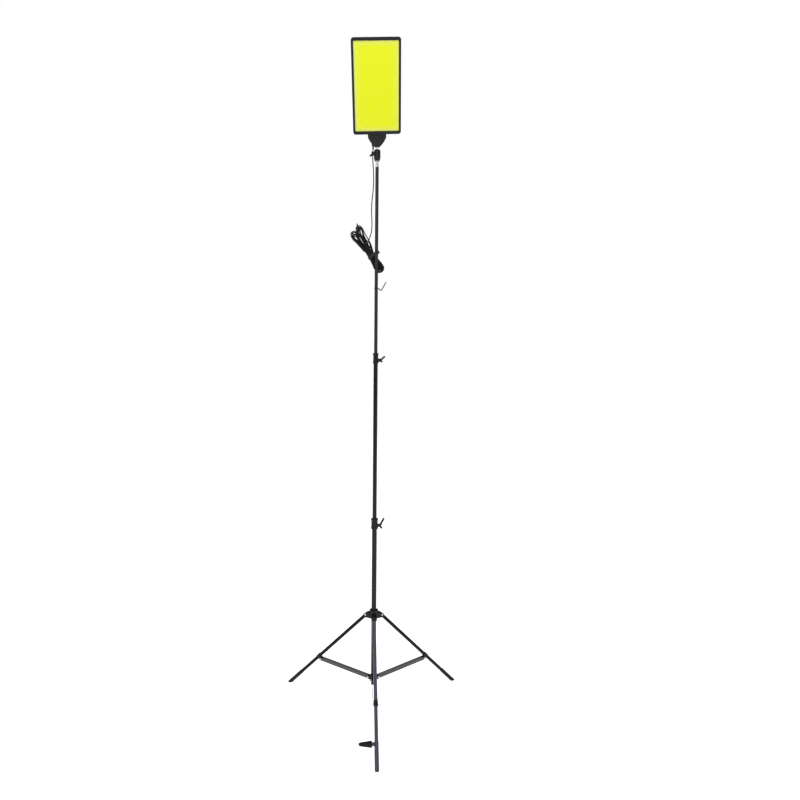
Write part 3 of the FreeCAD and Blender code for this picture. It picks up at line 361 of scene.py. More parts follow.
def turned_silver():
    """Lathe marks as a sine of the height, bent a little by the stains."""
    graph = Graph("turned spigot", Metallic=1.0)
    height = graph.parts(graph.place())[2]
    stain = graph.noise(90.0, 4.0)
    rings = (height * (TURN / LATHE_FEED) + 3.0 * stain).sine()
    graph.surface(Base_Color=graph.blend(stain, (0.62, 0.62, 0.64), (0.8, 0.8, 0.82)),
                  Roughness=(0.2 + 0.16 * stain + 0.04 * rings).limited())
    graph.bump(rings, 0.000008)
    return graph.material


def anodised_shell():
    """A blasted casting with a sheen drawn out up the panel."""
    graph = Graph("anodised shell", Metallic=0.5)
    brushing = graph.noise(1.0, 4.0, head_place(graph, (1400, 400, 30)))
    clouds = graph.noise(12.0, 4.0)
    blasted = graph.noise(1600.0, 2.0)
    graph.surface(Base_Color=graph.blend(clouds, (0.018, 0.018, 0.02), (0.042, 0.042, 0.047)),
                  Roughness=(0.34 + 0.14 * brushing + 0.1 * clouds).limited())
    graph.bump(0.6 * blasted + 0.4 * brushing, 0.00003)
    return graph.material


def circuit_board():
    """Green boards with a brick pattern for the copper under the lacquer."""
    graph = Graph("circuit board", Coat_Weight=0.5)
    traces = graph.node("ShaderNodeTexBrick", {"offset": 0.5},
                        {"Vector": head_place(graph), "Scale": 220.0, "Mortar Size": 0.08,
                         "Color1": (1, 1, 1, 1), "Color2": (1, 1, 1, 1), "Mortar": (0, 0, 0, 1)},
                        output="Fac")
    clouds = graph.noise(300.0, 3.0)
    graph.surface(Base_Color=graph.blend(traces, (0.02, 0.16, 0.07), (0.04, 0.28, 0.12)),
                  Roughness=(0.3 + 0.25 * clouds).limited())
    graph.bump(traces + 0.2 * clouds, 0.00004)
    return graph.material


finishes["spigot_silver"] = turned_silver()
finishes["shell_black"] = anodised_shell()
finishes["pcb_green"] = circuit_board()
print("finishes", len(finishes))

# %% [markdown]
# ## The lit face
# The face is a flat board of small chips under one layer of yellow phosphor in silicone. Unlit, it is a
# strong greenish yellow, a little paler where the layer thins towards the bezel, with a soft dimple
# over each chip. It is a satin rubbery surface, so its gloss is low.

# %% Phosphor
PANEL_WIDTH = 180 * MM
PANEL_HEIGHT = 320 * MM
PANEL_LOW = 61.6 * MM
SIDE_BORDER = 8 * MM
END_BORDER = 11.5 * MM
CHIP_PITCH = 6 * MM
PALE_BAND = 20 * MM


def phosphor():
    """Yellow that pales within a band of the bezel, with a dimple over each chip."""
    graph = Graph("phosphor layer", Specular_IOR_Level=0.2)
    x, _, z = graph.parts(head_place(graph))
    from_side = PANEL_WIDTH / 2 - SIDE_BORDER - x.size()
    from_end = PANEL_HEIGHT / 2 - END_BORDER - (z - PANEL_LOW - PANEL_HEIGHT / 2).size()
    inside = (from_side.least(from_end) / PALE_BAND).limited()
    mottle = graph.noise(45.0, 4.0)
    dimples = (x * (TURN / CHIP_PITCH)).sine() * (z * (TURN / CHIP_PITCH)).sine()
    tone = (0.85 * inside ** 0.7 + 0.2 * mottle + 0.03 * dimples).limited()
    graph.surface(Base_Color=graph.blend(tone, (0.66, 0.705, 0.18), (0.71, 0.765, 0.002)),
                  Roughness=(0.5 + 0.12 * mottle + 0.03 * dimples).limited())
    graph.bump(dimples + 0.3 * graph.noise(900.0, 2.0), 0.00006)
    return graph.material


finishes["phosphor"] = phosphor()
print("phosphor", finishes["phosphor"].name)

# %% [markdown]
# ## Cord jacket, strap and plug
# The jacket is soft PVC with a fine even grain and a hand-worn sheen. The strap is a
# woven hook-and-loop tape, so its material reads the strap's own UV map, where a weave belongs.

# %% Cord, strap and plug finishes
WARP_PITCH = 1.1
WEFT_PITCH = 0.9


def woven():
    """A plain weave on the UV map, in which one unit is one millimetre."""
    graph = Graph("woven tape", Sheen_Weight=0.1, Sheen_Roughness=0.5)
    along, over, _ = graph.parts(graph.node("ShaderNodeTexCoord", output="UV"))
    warp = (along * (TURN / WARP_PITCH)).sine()
    weft = (over * (TURN / WEFT_PITCH)).sine()
    weave = 0.5 + 0.5 * warp * weft
    fuzz = graph.noise(1200.0, 4.0)
    tone = (0.65 * weave + 0.45 * fuzz).limited()
    graph.surface(Base_Color=graph.blend(tone, (0.004, 0.004, 0.005), (0.016, 0.016, 0.018)),
                  Roughness=(0.72 + 0.2 * fuzz).limited())
    graph.bump(weave + 0.6 * fuzz, 0.0002)
    return graph.material


finishes["cord_black"] = coated("cord jacket", (0.006, 0.006, 0.007), (0.015, 0.015, 0.017),
                                (0.34, 0.52), 0.0009, 0.00003)
finishes["tie_black"] = woven()
finishes["plug_grey"] = coated("plug moulding", (0.09, 0.075, 0.105), (0.15, 0.125, 0.17),
                               (0.36, 0.52), 0.0005, 0.00003)
print("finishes", len(finishes))

# %% [markdown]
# ## Finishes on the imported pieces
# The record names one finish for each piece. The mast's upper tube, and the front leg with its sliding
# foot, get lighter finishes than the record's: a painted highlight on the upper tube for the brighter
# light near the column's top, and a painted bluish reflection on the front leg and its foot of the
# overhead light that the leg leans towards.

# %% Give every imported piece its finish
# Lighter copies of the coats, with painted highlight and painted reflection, for the upper tube, the
# front leg and its foot.
PAINTED_LIGHT_FINISHES = {"upper_tube": "mast_painted_highlight", "front_leg_tube": "front_leg",
           "levelling_foot": "front_leg"}
for part in frame["record"]["subparts"]:
    piece = nodes[part["node"]]
    piece.data.materials.clear()
    piece.data.materials.append(finishes[PAINTED_LIGHT_FINISHES.get(part["node"], part["material_slot"])])

# %% [markdown]
# ## The cord's route
# A 12 V lead leaves the lamp's bracket, hangs loosely down the back of the mast and is tied to it in a
# hank. It is one smooth NURBS line, because a soft cord has no corners. The points of its free stretch
# are the same as the engineering model's, from the gland to the hank.

# %% Route of the free stretch
CORD_R = 2.0 * MM
GLAND_X = -15.5 * MM
GLAND_LOW = 12.0 * MM
MOUTH = HEAD_FRAME @ Vector((GLAND_X, 0, GLAND_LOW))
LEAD_MM = [
    (-17.0, 2.6, 2121), (-16.9, 9.0, 2102), (-14.6, 10.6, 2074), (-12.6, 8.6, 2036),
    (-13.2, 7.6, 1990), (-17.6, 8.2, 1950), (-20.4, 9.4, 1912), (-18.6, 9.8, 1874),
    (-17.4, 10.8, 1842), (-20.4, 13.0, 1814), (-30.5, 16.5, 1789),
]
lead = [MOUTH] + [Vector(point) * MM for point in LEAD_MM]
print("lead points", len(lead))

# %% [markdown]
# ## The hank
# The hank is wound by hand: fifteen long turns squeezed together in the middle by the strap. Below it
# they hang in one bunch, and above it they fan out into two lobes. Each turn is worked out from two
# end bends and its row and column at the strap. Every other loop is twisted once, as a hand leaves it.

# %% One turn of the hank
HANK_TOP = Vector((-81, 17.5, 1841)) * MM
HANK_END = Vector((21, 17.5, 1663)) * MM
ALONG = (HANK_END - HANK_TOP).normalized()
ACROSS = Vector((-ALONG.z, 0, ALONG.x))
DEEP = Vector((0, 1, 0))
TIE_ALONG = 130.0 * MM
TIE_HALF = 9.0 * MM
PITCH = 4.1 * MM
ROWS = 5
COLUMNS = 3
BEND_STEPS = 6
LEAST_BEND = 9.4 * MM
# A lobe's outer bend (its place along and across, and its radius), then the middle and half-width of
# its neck. The lower bend has the first three only.
LOBES = {
    "left": (24.0 * MM, -20.0 * MM, 13.5 * MM, -9.0 * MM, 11.0 * MM),
    "right": (13.5 * MM, 7.0 * MM, 11.8 * MM, 8.0 * MM, 10.0 * MM),
}
ROW_LOBES = [("right", 2), ("left", 1), ("left", 3), ("right", 0), ("left", 4)]
LEANS = (0, -1, 1)
GOLDEN = 0.618
TWIST_APART = 2.1 * MM
LOWER_BEND = (186.0 * MM, 1.0 * MM, 16.4 * MM)
# Each turn, in millimetres: how far its ends lie from the last one's, their scatter, how much tighter
# its bends are, how far apart the loops lie in depth, and how far the neck lies below half-way.
LOW_CLIMB, TOP_CLIMB = 1.0, 1.7
LOW_SCATTER, TOP_SCATTER = 1, 0.8
TIGHTER = 1.1
TOP_DEPTHS = 1.7
NECK_DROP = 8


def in_hank(along, across, deep):
    return HANK_TOP + ALONG * along + ACROSS * across + DEEP * deep


def bend(centre_along, centre_across, radius, side, deep):
    """Half a circle: side 1 goes round the lower end to the left, side -1 over the top to the right."""
    points = []
    for step in range(BEND_STEPS + 1):
        angle = math.pi * step / BEND_STEPS
        points.append((centre_along + side * radius * math.sin(angle),
                       centre_across + side * radius * math.cos(angle), deep))
    return points


def apart_in_depth(number, stride, places):
    """A whole step from the middle, so that turns wound one after the other lie well apart."""
    return number * stride % places - places // 2


def turn_of_cord(row, column, lobe, order, wound, chance):
    """Down the right side, round the lower end, up the left side and over the lobe."""
    beside = (COLUMNS - 0.5 - column) * PITCH
    deep = (row - (ROWS - 1) / 2) * PITCH
    low_along, low_across, low_radius = LOWER_BEND
    low_along -= (LOW_CLIMB * wound + chance.uniform(0, LOW_SCATTER)) * MM
    small_radius = max(low_radius - TIGHTER * wound * MM, LEAST_BEND)
    low_across -= LEANS[wound % 3] * (low_radius - small_radius)
    low_radius = small_radius
    low_deep = apart_in_depth(wound, 4, 15) * MM
    top_along, top_across, lobe_radius, mid_across, mid_half = LOBES[lobe]
    top_along += (TOP_CLIMB * order + chance.uniform(0, TOP_SCATTER)) * MM
    top_radius = max(lobe_radius - TIGHTER * order * MM, LEAST_BEND)
    top_across += LEANS[order % 3] * (lobe_radius - top_radius)
    top_deep = apart_in_depth(order, 5, 9) * TOP_DEPTHS * MM
    spread = (1 - order * GOLDEN % 1) * mid_half
    neck_lean = LEANS[order % 3] * (mid_half - spread)
    twist = -1 if order % 2 else 1
    apart = TWIST_APART if order % 2 else 0
    down = [(TIE_ALONG - TIE_HALF, beside, deep), (TIE_ALONG + TIE_HALF, beside, deep)]
    up = [(along, -across, depth) for along, across, depth in reversed(down)]
    middle = (top_along + TIE_ALONG) / 2 + NECK_DROP * MM
    over = ([(middle, mid_across + neck_lean - twist * spread, top_deep - apart)]
            + bend(top_along, top_across, top_radius, -1, top_deep)
            + [(middle, mid_across + neck_lean + twist * spread, top_deep + apart)])
    return down + bend(low_along, low_across, low_radius, 1, low_deep) + up + over


def wound_turns():
    """All the turns in the order they were wound, from the middle row outwards."""
    chance = random.Random(7)
    stations = []
    seen = {"left": 0, "right": 0}
    for lobe, row in ROW_LOBES:
        for column in range(COLUMNS):
            wound = sum(seen.values())
            stations += turn_of_cord(row, column, lobe, seen[lobe], wound, chance)
            seen[lobe] += 1
    return stations[:-(BEND_STEPS + 3)]


PLUG_BASE = Vector((-62.0, 30.6, 1822.0)) * MM
PLUG_AXIS = Vector((-13, 0, 32)).normalized()
TAIL_MM = [(106, -1.5, 8.6), (88, 0, 11.6), (66, 3.6, 13.0), (45, 5.4, 13.1)]
tail = [tuple(value * MM for value in point) for point in TAIL_MM]
stations = [in_hank(*point) for point in wound_turns() + tail]
stations.append(PLUG_BASE + PLUG_AXIS * 2 * MM)
print("stations", len(stations))

# %% [markdown]
# ## Settling the turns
# Real turns can't pass through each other. The stations are spread into points a few millimetres
# apart and smoothed. Then close points of different strands push apart, a little at a time, and a
# weak pull towards the first shape keeps the hank's outline. The only chance in it is the seeded
# scatter of the stations, so it repeats.

# %% Settle the hank
STEP = 6.0 * MM
GAP = 4.1 * MM
STRANDS_APART = 4
DEEP_LIMIT = 8.2 * MM
PUSH = 0.35
MOST_MOVE = 0.8 * MM
KEPT_SHIFT = 0.985
TAIL_LENGTH = 0.1
TINY = 1e-9


def spaced(points, step):
    """The polyline's points again, an even step apart."""
    line = np.array([tuple(point) for point in points])
    runs = np.linalg.norm(np.diff(line, axis=0), axis=1)
    reach = np.concatenate([[0], np.cumsum(runs)])
    where = np.linspace(0, reach[-1], int(reach[-1] / step) + 2)
    return np.stack([np.interp(where, reach, line[:, axis]) for axis in range(3)], axis=1)


def smoothed(line, rounds):
    """Pulls each point towards its neighbours, then as far back, so that bends keep their size."""
    line = line.copy()
    for _ in range(rounds):
        for pull in (0.5, -0.52):
            line[1:-1] += pull * ((line[:-2] + line[2:]) / 2 - line[1:-1])
    return line


def settled(line, rounds, tail_points):
    """Pushes the strands apart, without letting them leave the bundle."""
    start = line.copy()
    number = np.arange(len(line))
    stranger = np.abs(number[:, None] - number[None, :]) >= STRANDS_APART
    middle = HANK_TOP.y
    for _ in range(rounds):
        gap = line[:, None, :] - line[None, :, :]
        far = np.linalg.norm(gap, axis=2) + TINY
        press = np.where(stranger & (far < GAP), (GAP - far) / far, 0.0)
        move = PUSH * (gap * press[:, :, None]).sum(1)
        size = np.linalg.norm(move, axis=1, keepdims=True)
        line += move * np.minimum(1.0, MOST_MOVE / (size + TINY))
        shift = line - start
        shift[1:-1] += 0.5 * ((shift[:-2] + shift[2:]) / 2 - shift[1:-1])
        shift *= KEPT_SHIFT
        line = start + shift
        wound = slice(0, len(line) - tail_points)
        line[wound, 1] = np.clip(line[wound, 1], middle - DEEP_LIMIT, middle + DEEP_LIMIT)
        line[0], line[-1] = start[0], start[-1]
    return line


SETTLE_ROUNDS = 200
hank = smoothed(spaced([lead[-1]] + stations, STEP), 5)
hank = smoothed(settled(hank, SETTLE_ROUNDS, int(TAIL_LENGTH / STEP)), 4)
print("hank points", len(hank), "settled in", SETTLE_ROUNDS, "rounds")

# %% One smooth line
CURVE_STEPS = 6


def smooth_line(points):
    """The points read back from a NURBS spline that has these as its control points."""
    curve = bpy.data.curves.new("cord route", "CURVE")
    curve.dimensions = "3D"
    curve.resolution_u = CURVE_STEPS
    spline = curve.splines.new("NURBS")
    spline.points.add(len(points) - 1)
    for control, point in zip(spline.points, points):
        control.co = (*point, 1)
    spline.order_u = 3
    spline.use_endpoint_u = True
    holder = bpy.data.objects.new("cord route", curve)
    mesh = bpy.data.meshes.new_from_object(holder)
    line = [vertex.co.copy() for vertex in mesh.vertices]
    bpy.data.meshes.remove(mesh)
    bpy.data.objects.remove(holder)
    return line


cord_line = smooth_line([tuple(point) for point in lead[:-1]] + [tuple(point) for point in hank])
cord_length = sum((b - a).length for a, b in zip(cord_line, cord_line[1:]))
print("cord", round(cord_length, 3), "m in", len(cord_line), "points")

# %% [markdown]
# ## Three lengths of jacket
# The lamp can lean, tilt and spin on its ball, and a blended piece can follow one joint only. The
# cord's tube is made in three lengths that meet end to end. At rest they read as a single unbroken
# jacket.

# %% Jacket
SPIN_LENGTH = 0.0308
JACKET_RESOLUTION = 3


def measured(line):
    """How far along the line each of its points is."""
    reach = [0.0]
    for a, b in zip(line, line[1:]):
        reach.append(reach[-1] + (b - a).length)
    return reach


def tube_mesh(name, line):
    """A capped round tube along the line, as thick as the cord."""
    curve = bpy.data.curves.new(name, "CURVE")
    curve.dimensions = "3D"
    curve.bevel_depth = CORD_R
    curve.bevel_resolution = JACKET_RESOLUTION
    curve.use_fill_caps = True
    spline = curve.splines.new("POLY")
    spline.points.add(len(line) - 1)
    for control, point in zip(spline.points, line):
        control.co = (*point, 1)
    holder = bpy.data.objects.new(name, curve)
    mesh = bpy.data.meshes.new_from_object(holder)
    bpy.data.objects.remove(holder)
    bpy.data.curves.remove(curve)
    mesh.name = name
    return mesh


def shown(name, mesh, slot):
    """A new piece with its finish, smooth shaded."""
    piece = bpy.data.objects.new(name, mesh)
    bpy.context.scene.collection.objects.link(piece)
    mesh.materials.clear()
    mesh.materials.append(finishes[slot])
    mesh.polygons.foreach_set("use_smooth", [True] * len(mesh.polygons))
    return piece


reach = measured(cord_line)
cuts = [0] + [next(i for i, run in enumerate(reach) if run >= SPIN_LENGTH * part) for part in (1, 2)]
cuts.append(len(cord_line) - 1)
lengths = [cord_line[a:b + 1] for a, b in zip(cuts, cuts[1:])]
jackets = []
for name, line in zip(("cord_at_lamp", "cord_at_ball", "cord_on_mast"), lengths):
    jackets.append(shown(name, tube_mesh(name, line), "cord_black"))
    print(name, round(measured(line)[-1], 4), "m")
for jacket, line, bodies in zip(jackets, lengths, (("head", "ball"), ("ball", "ball_seat"))):
    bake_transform(jacket)
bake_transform(jackets[2])
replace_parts(jackets[2], "cord_lead", "cord_hank")

# %% [markdown]
# ## Helpers for moulded and turned pieces
# A turned piece is a profile spun round an axis. A knob is several such shapes grown into each other,
# so its shells are fused by a voxel remesh and softened, which leaves the generous radii of a moulding.

# %% Spin, fuse and place
SPIN_STEPS = 48
MOULDING_STEPS = 32
SCREW_STEPS = 24
MOULDING_VOXEL = 0.45 * MM
MOULDING_SOFTNESS = 4


def spun(form, profile, steps=SPIN_STEPS):
    """Adds a closed solid of revolution about Z from (radius, height) pairs in millimetres."""
    rim = [form.verts.new((radius * MM, 0, height * MM)) for radius, height in profile]
    edges = [form.edges.new(pair) for pair in zip(rim, rim[1:])]
    bmesh.ops.spin(form, geom=rim + edges, cent=(0, 0, 0), axis=UP, angle=TURN, steps=steps,
                   use_merge=True, use_duplicate=False)
    bmesh.ops.remove_doubles(form, verts=form.verts, dist=1e-7)
    bmesh.ops.recalc_face_normals(form, faces=form.faces)


def frame_at(position, x_axis, z_axis=UP):
    """The matrix that turns X and Z to new directions and then moves to a position."""
    x = Vector(x_axis).normalized()
    z = (Vector(z_axis) - x * x.dot(Vector(z_axis))).normalized()
    turn = Matrix((x, z.cross(x), z)).transposed()
    return Matrix.Translation(Vector(position)) @ turn.to_4x4()


def mesh_of(name, form):
    mesh = bpy.data.meshes.new(name)
    form.to_mesh(mesh)
    form.free()
    return mesh


def with_modifiers(name, mesh, modifiers):
    """The mesh after modifiers given as (type, settings)."""
    holder = bpy.data.objects.new(name, mesh)
    bpy.context.scene.collection.objects.link(holder)
    for kind, settings in modifiers:
        modifier = holder.modifiers.new(kind.lower(), kind)
        for key, value in settings.items():
            setattr(modifier, key, value)
    bpy.context.view_layer.update()
    graph = bpy.context.evaluated_depsgraph_get()
    made = bpy.data.meshes.new_from_object(holder.evaluated_get(graph))
    bpy.data.objects.remove(holder)
    made.name = name
    return made


def fused(name, mesh):
    """One moulding from shells that run into each other, with its corners softened."""
    return with_modifiers(name, mesh, [
        ("REMESH", {"mode": "VOXEL", "voxel_size": MOULDING_VOXEL}),
        ("SMOOTH", {"factor": 0.5, "iterations": MOULDING_SOFTNESS}),
    ])


TO_X = Matrix.Rotation(math.pi / 2, 4, "Y")
print("helpers ready")

# %% [markdown]
# ## Clamp knobs
# Each clamp is a hub with one long wing and a short one, so a cold hand can turn it. The wings taper
# in the middle and swell at the tip. They are boxes with a few cuts, scaled cut by cut, then bevelled.

# %% Wing knob
HUB_PROFILE = [(0, 0), (6.0, 0), (6.5, 0.4), (7.0, 1.5), (6.8, 4), (6.4, 6.5), (5.6, 7.6),
               (4.5, 8), (0, 8)]
WING_WIDTHS = [9.0, 8.4, 7.8, 7.4, 7.4, 8.0, 8.9, 7.0]
WING_THICK = 4.4
WING_ROOT = 4.6
WING_EDGE = 1.3 * MM


def wing_mesh(reach, side, flare, stud):
    """A flat tapering blade from the hub's middle, leaning out by the flare angle."""
    form = bmesh.new()
    length = (reach + 2) * MM
    bmesh.ops.create_cube(form, size=1)
    bmesh.ops.scale(form, vec=(length, WING_THICK * MM, MM), verts=form.verts)
    bmesh.ops.translate(form, vec=(length / 2, 0, 0), verts=form.verts)
    long_edges = [e for e in form.edges if abs((e.verts[0].co - e.verts[1].co).x) > length / 2]
    bmesh.ops.subdivide_edges(form, edges=long_edges, cuts=len(WING_WIDTHS) - 2)
    for vertex in form.verts:
        place = vertex.co.x / length * (len(WING_WIDTHS) - 1)
        vertex.co.z *= float(np.interp(place, range(len(WING_WIDTHS)), WING_WIDTHS))
    sharp = [e for e in form.edges if e.calc_face_angle(0) > 1.0]
    bmesh.ops.bevel(form, geom=sharp, offset=WING_EDGE, offset_type="OFFSET", segments=3,
                    profile=0.5, affect="EDGES", material=-1)
    root = Matrix.Translation(((stud + WING_ROOT) * MM, 0, 0))
    lean = Matrix.Rotation(-side * flare, 4, "Y")
    bmesh.ops.transform(form, matrix=root @ lean, verts=form.verts)
    return mesh_of("wing", form)


def knob_mesh(name, long_wing, short_wing, stud, stud_r, flare_degrees, place):
    """Hub and wings fused into one moulding, and the steel screw as a second material."""
    form = bmesh.new()
    spun(form, HUB_PROFILE, MOULDING_STEPS)
    out = Matrix.Translation((stud * MM, 0, 0))
    bmesh.ops.transform(form, matrix=out @ TO_X, verts=form.verts)
    for reach_mm, side in ((long_wing, 1), (short_wing, -1)):
        form.from_mesh(wing_mesh(reach_mm, side, math.radians(flare_degrees), stud))
    moulding = fused(name, mesh_of(name, form))
    screw = bmesh.new()
    inside = stud + 0.6
    spun(screw, [(0, 0), (stud_r - 0.5, 0), (stud_r, 0.5), (stud_r, inside), (0, inside)], SCREW_STEPS)
    bmesh.ops.transform(screw, matrix=TO_X, verts=screw.verts)
    for face in screw.faces:
        face.material_index = 1
    screw.from_mesh(moulding)
    bmesh.ops.transform(screw, matrix=place, verts=screw.verts)
    bpy.data.meshes.remove(moulding)
    return mesh_of(name, screw)


UPPER_KNOB_TURN = Matrix.Rotation(math.radians(62), 4, "X")
BALL_KNOB_TURN = Matrix.Rotation(math.radians(190), 4, "X")
BALL_KNOB_WAY = Vector((math.cos(math.radians(-140)), math.sin(math.radians(-140)), 0))
LOWER_KNOB = frame_at(Vector((9.0, 0, 692)) * MM, (1, 0, 0))
UPPER_KNOB = frame_at(Vector((7.5, 0, 1326)) * MM, (1, 0, 0)) @ UPPER_KNOB_TURN
HUB_KNOB = frame_at(Vector((0, 9.9, 352)) * MM, (0, 1, 0))
BALL_KNOB = frame_at((BALL_KNOB_WAY * 5.4 + UP * 2114) * MM, BALL_KNOB_WAY) @ BALL_KNOB_TURN
# Each knob's body, long and short wing, screw length and radius, flare in degrees and place.
KNOBS = {
    "lower_collar_knob": ("lower_clamp", 30, 12, 7.6, 3.0, 62, LOWER_KNOB),
    "upper_collar_knob": ("upper_clamp", 30, 12, 6.3, 3.0, 62, UPPER_KNOB),
    "hub_knob": ("hub_clamp", 26, 13, 11.6, 3.0, 48, HUB_KNOB),
    "ball_head_knob": ("ball_clamp", 22, 7, 10.3, 2.5, 40, BALL_KNOB),
}
for node, (body, *sizes) in KNOBS.items():
    knob = shown(node + "_moulding", knob_mesh(node, *sizes), "knob_black")
    knob.data.materials.append(finishes["screw_steel"])
    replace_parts(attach(knob, body), node)
    print(node, "triangles about", 2 * len(knob.data.polygons))

# %% [markdown]
# ## Levelling foot's grip
# The front foot slides on its leg and is held by a long tapered grip with a flat key across its root.
# It is the same recipe: a spun grip, a bevelled box for the key, fused.

# %% Foot grip
FOOT_REACH = 390.0
PIVOT_OUT = 32.0
PIVOT_UP = 346.0
LEG_SLOPE = math.atan2(FOOT_REACH - PIVOT_OUT, PIVOT_UP)
LEG_LENGTH = math.hypot(FOOT_REACH - PIVOT_OUT, PIVOT_UP)
GRIP_PROFILE = [(0, 6.1), (6.2, 6.1), (6.8, 9.1), (6.2, 13), (5.6, 18.1), (4.8, 30), (4.2, 44.1),
                (4.6, 49.1), (4.2, 51), (3.2, 52.1), (0, 52.1)]
GRIP_SCREW = [(0, 0), (2.5, 0), (3.0, 0.5), (3.0, 7), (0, 7)]
GRIP_FROM_FOOT = 0.075
GRIP_OUT = 0.0069
KEY_SIZE = (22, 3.2, 40)
KEY_TAPER = 0.51
KEY_MIDDLE = 28.1
KEY_EDGE = 0.9 * MM
pivot = (PIVOT_OUT * MM, 0, PIVOT_UP * MM)
leg_down = Vector((math.sin(LEG_SLOPE), 0, -math.cos(LEG_SLOPE)))
leg_up_side = Vector((math.cos(LEG_SLOPE), 0, math.sin(LEG_SLOPE)))
front_leg = Matrix.Rotation(math.radians(-90), 4, "Z") @ frame_at(pivot, leg_down, leg_up_side)


def foot_grip():
    """Grip and key fused into one moulding, and the steel screw as a second material."""
    form = bmesh.new()
    spun(form, GRIP_PROFILE, MOULDING_STEPS)
    key = bmesh.ops.create_cube(form, size=1)["verts"]
    bmesh.ops.scale(form, vec=Vector(KEY_SIZE) * MM, verts=key)
    bmesh.ops.scale(form, vec=(KEY_TAPER, 1, 1), verts=[v for v in key if v.co.z > 0])
    bmesh.ops.translate(form, vec=(0, 0, KEY_MIDDLE * MM), verts=key)
    edges = {e for v in key for e in v.link_edges}
    bmesh.ops.bevel(form, geom=list(edges), offset=KEY_EDGE, offset_type="OFFSET", segments=3,
                    profile=0.5, affect="EDGES", material=-1)
    moulding = fused("foot_knob", mesh_of("foot_knob", form))
    screw = bmesh.new()
    spun(screw, GRIP_SCREW, SCREW_STEPS)
    for face in screw.faces:
        face.material_index = 1
    screw.from_mesh(moulding)
    seat = frame_at((LEG_LENGTH * MM - GRIP_FROM_FOOT, -GRIP_OUT, 0), (0, -1, 0), (1, 0, 0))
    bmesh.ops.transform(screw, matrix=front_leg @ seat @ TO_X, verts=screw.verts)
    bpy.data.meshes.remove(moulding)
    return mesh_of("foot_knob", screw)


grip = shown("foot_grip", foot_grip(), "knob_black")
grip.data.materials.append(finishes["screw_steel"])
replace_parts(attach(grip, "front_foot_clamp"), "foot_knob")
print("foot grip", [round(v, 3) for v in grip.data.vertices[0].co])

# %% [markdown]
# ## Strain relief
# The cord leaves the bracket through a tapered rubber sleeve with ribs that share out its bending.
# It is one profile spun round the cord's axis, so the ribs stay even.

# %% Strain relief
RELIEF_TOP = 31.9
RELIEF_FLANGE = 20.0
RELIEF_LOW = 7.6
RIBS = 4
CORD_HOLE = 2.05
SLEEVE_R = 3.3
FLANGE_R = 4.4
RIB_R = 3.5
RIB_TAPER = 0.22
RIB_HEIGHT = 0.5


def relief_mesh():
    """Sleeve, flange and ribs as one profile, each rib a little smaller than the one above it."""
    profile = [(CORD_HOLE, RELIEF_TOP), (SLEEVE_R, RELIEF_TOP), (SLEEVE_R, RELIEF_FLANGE),
               (FLANGE_R, RELIEF_FLANGE - 0.05), (FLANGE_R, RELIEF_FLANGE - 0.6)]
    rib = (RELIEF_FLANGE - 1.2 - RELIEF_LOW) / RIBS
    for number in range(RIBS):
        top = RELIEF_FLANGE - 1.0 - number * rib
        radius = RIB_R - RIB_TAPER * number
        root = radius - RIB_HEIGHT
        profile += [(root, top), (root, top - 0.3 * rib), (radius, top - 0.42 * rib),
                    (radius - 0.05, top - 0.85 * rib)]
    profile += [(CORD_HOLE, RELIEF_LOW), (CORD_HOLE, RELIEF_TOP)]
    form = bmesh.new()
    spun(form, profile, 40)
    place = HEAD_FRAME @ Matrix.Translation((GLAND_X, 0, 0))
    bmesh.ops.transform(form, matrix=place, verts=form.verts)
    return mesh_of("strain_relief", form)


relief = shown("strain_relief", relief_mesh(), "moulded_black")
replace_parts(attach(relief, "head"), "cable_gland")
print("strain relief ribs", RIBS)

# %% [markdown]
# ## Plug
# The lead ends in a barrel plug with a moulded grip. The grip's ribs and the metal barrel are one spun
# profile; the faces of the barrel get a second material by their height.

# %% Plug
BARREL_FROM = 28.1
BARREL_R = 2.75
GRIP_R = 4.6
GROOVE_R = 4.25


def plug_mesh():
    """A ribbed relief, a grooved grip and the hollow barrel, in order from the cord's end."""
    profile = [(CORD_HOLE, 0), (2.9, 0), (3.1, 0.6)]
    for number in range(3):
        low = 1.2 + 1.6 * number
        profile += [(2.6 + 0.2 * number, low), (2.6 + 0.2 * number, low + 0.5),
                    (3.1 + 0.2 * number, low + 0.8)]
    profile += [(3.8, 5.6), (4.4, 6.3), (GRIP_R, 7.2)]
    for number in range(6):
        low = 9.0 + 2.4 * number
        profile += [(GRIP_R, low), (GROOVE_R, low + 0.4), (GROOVE_R, low + 1.1), (GRIP_R, low + 1.5)]
    profile += [(GRIP_R, 25.2), (4.35, 26.2), (3.9, 28), (BARREL_R, 28.05), (BARREL_R, 37.5),
                (2.3, 38), (1.3, 38), (1.3, 30), (0, 30)]
    form = bmesh.new()
    spun(form, profile)
    end = [e for e in form.edges if e.is_boundary]
    bmesh.ops.contextual_create(form, geom=end)
    for face in form.faces:
        face.material_index = 1 if face.calc_center_median().z > BARREL_FROM * MM else 0
    side = PLUG_AXIS.orthogonal()
    bmesh.ops.transform(form, matrix=frame_at(PLUG_BASE, side, PLUG_AXIS), verts=form.verts)
    return mesh_of("plug", form)


plug = shown("barrel_plug", plug_mesh(), "plug_grey")
plug.data.materials.append(finishes["chrome"])
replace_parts(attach(plug, "mast"), "cord_plug")
print("plug faces", len(plug.data.polygons))

# %% [markdown]
# ## Strap
# A hook-and-loop strap binds the hank to the mast. Pulled tight, it follows the outline round the
# bundle and the tube: the curve that a belt takes round circles. A loose end lies over it.

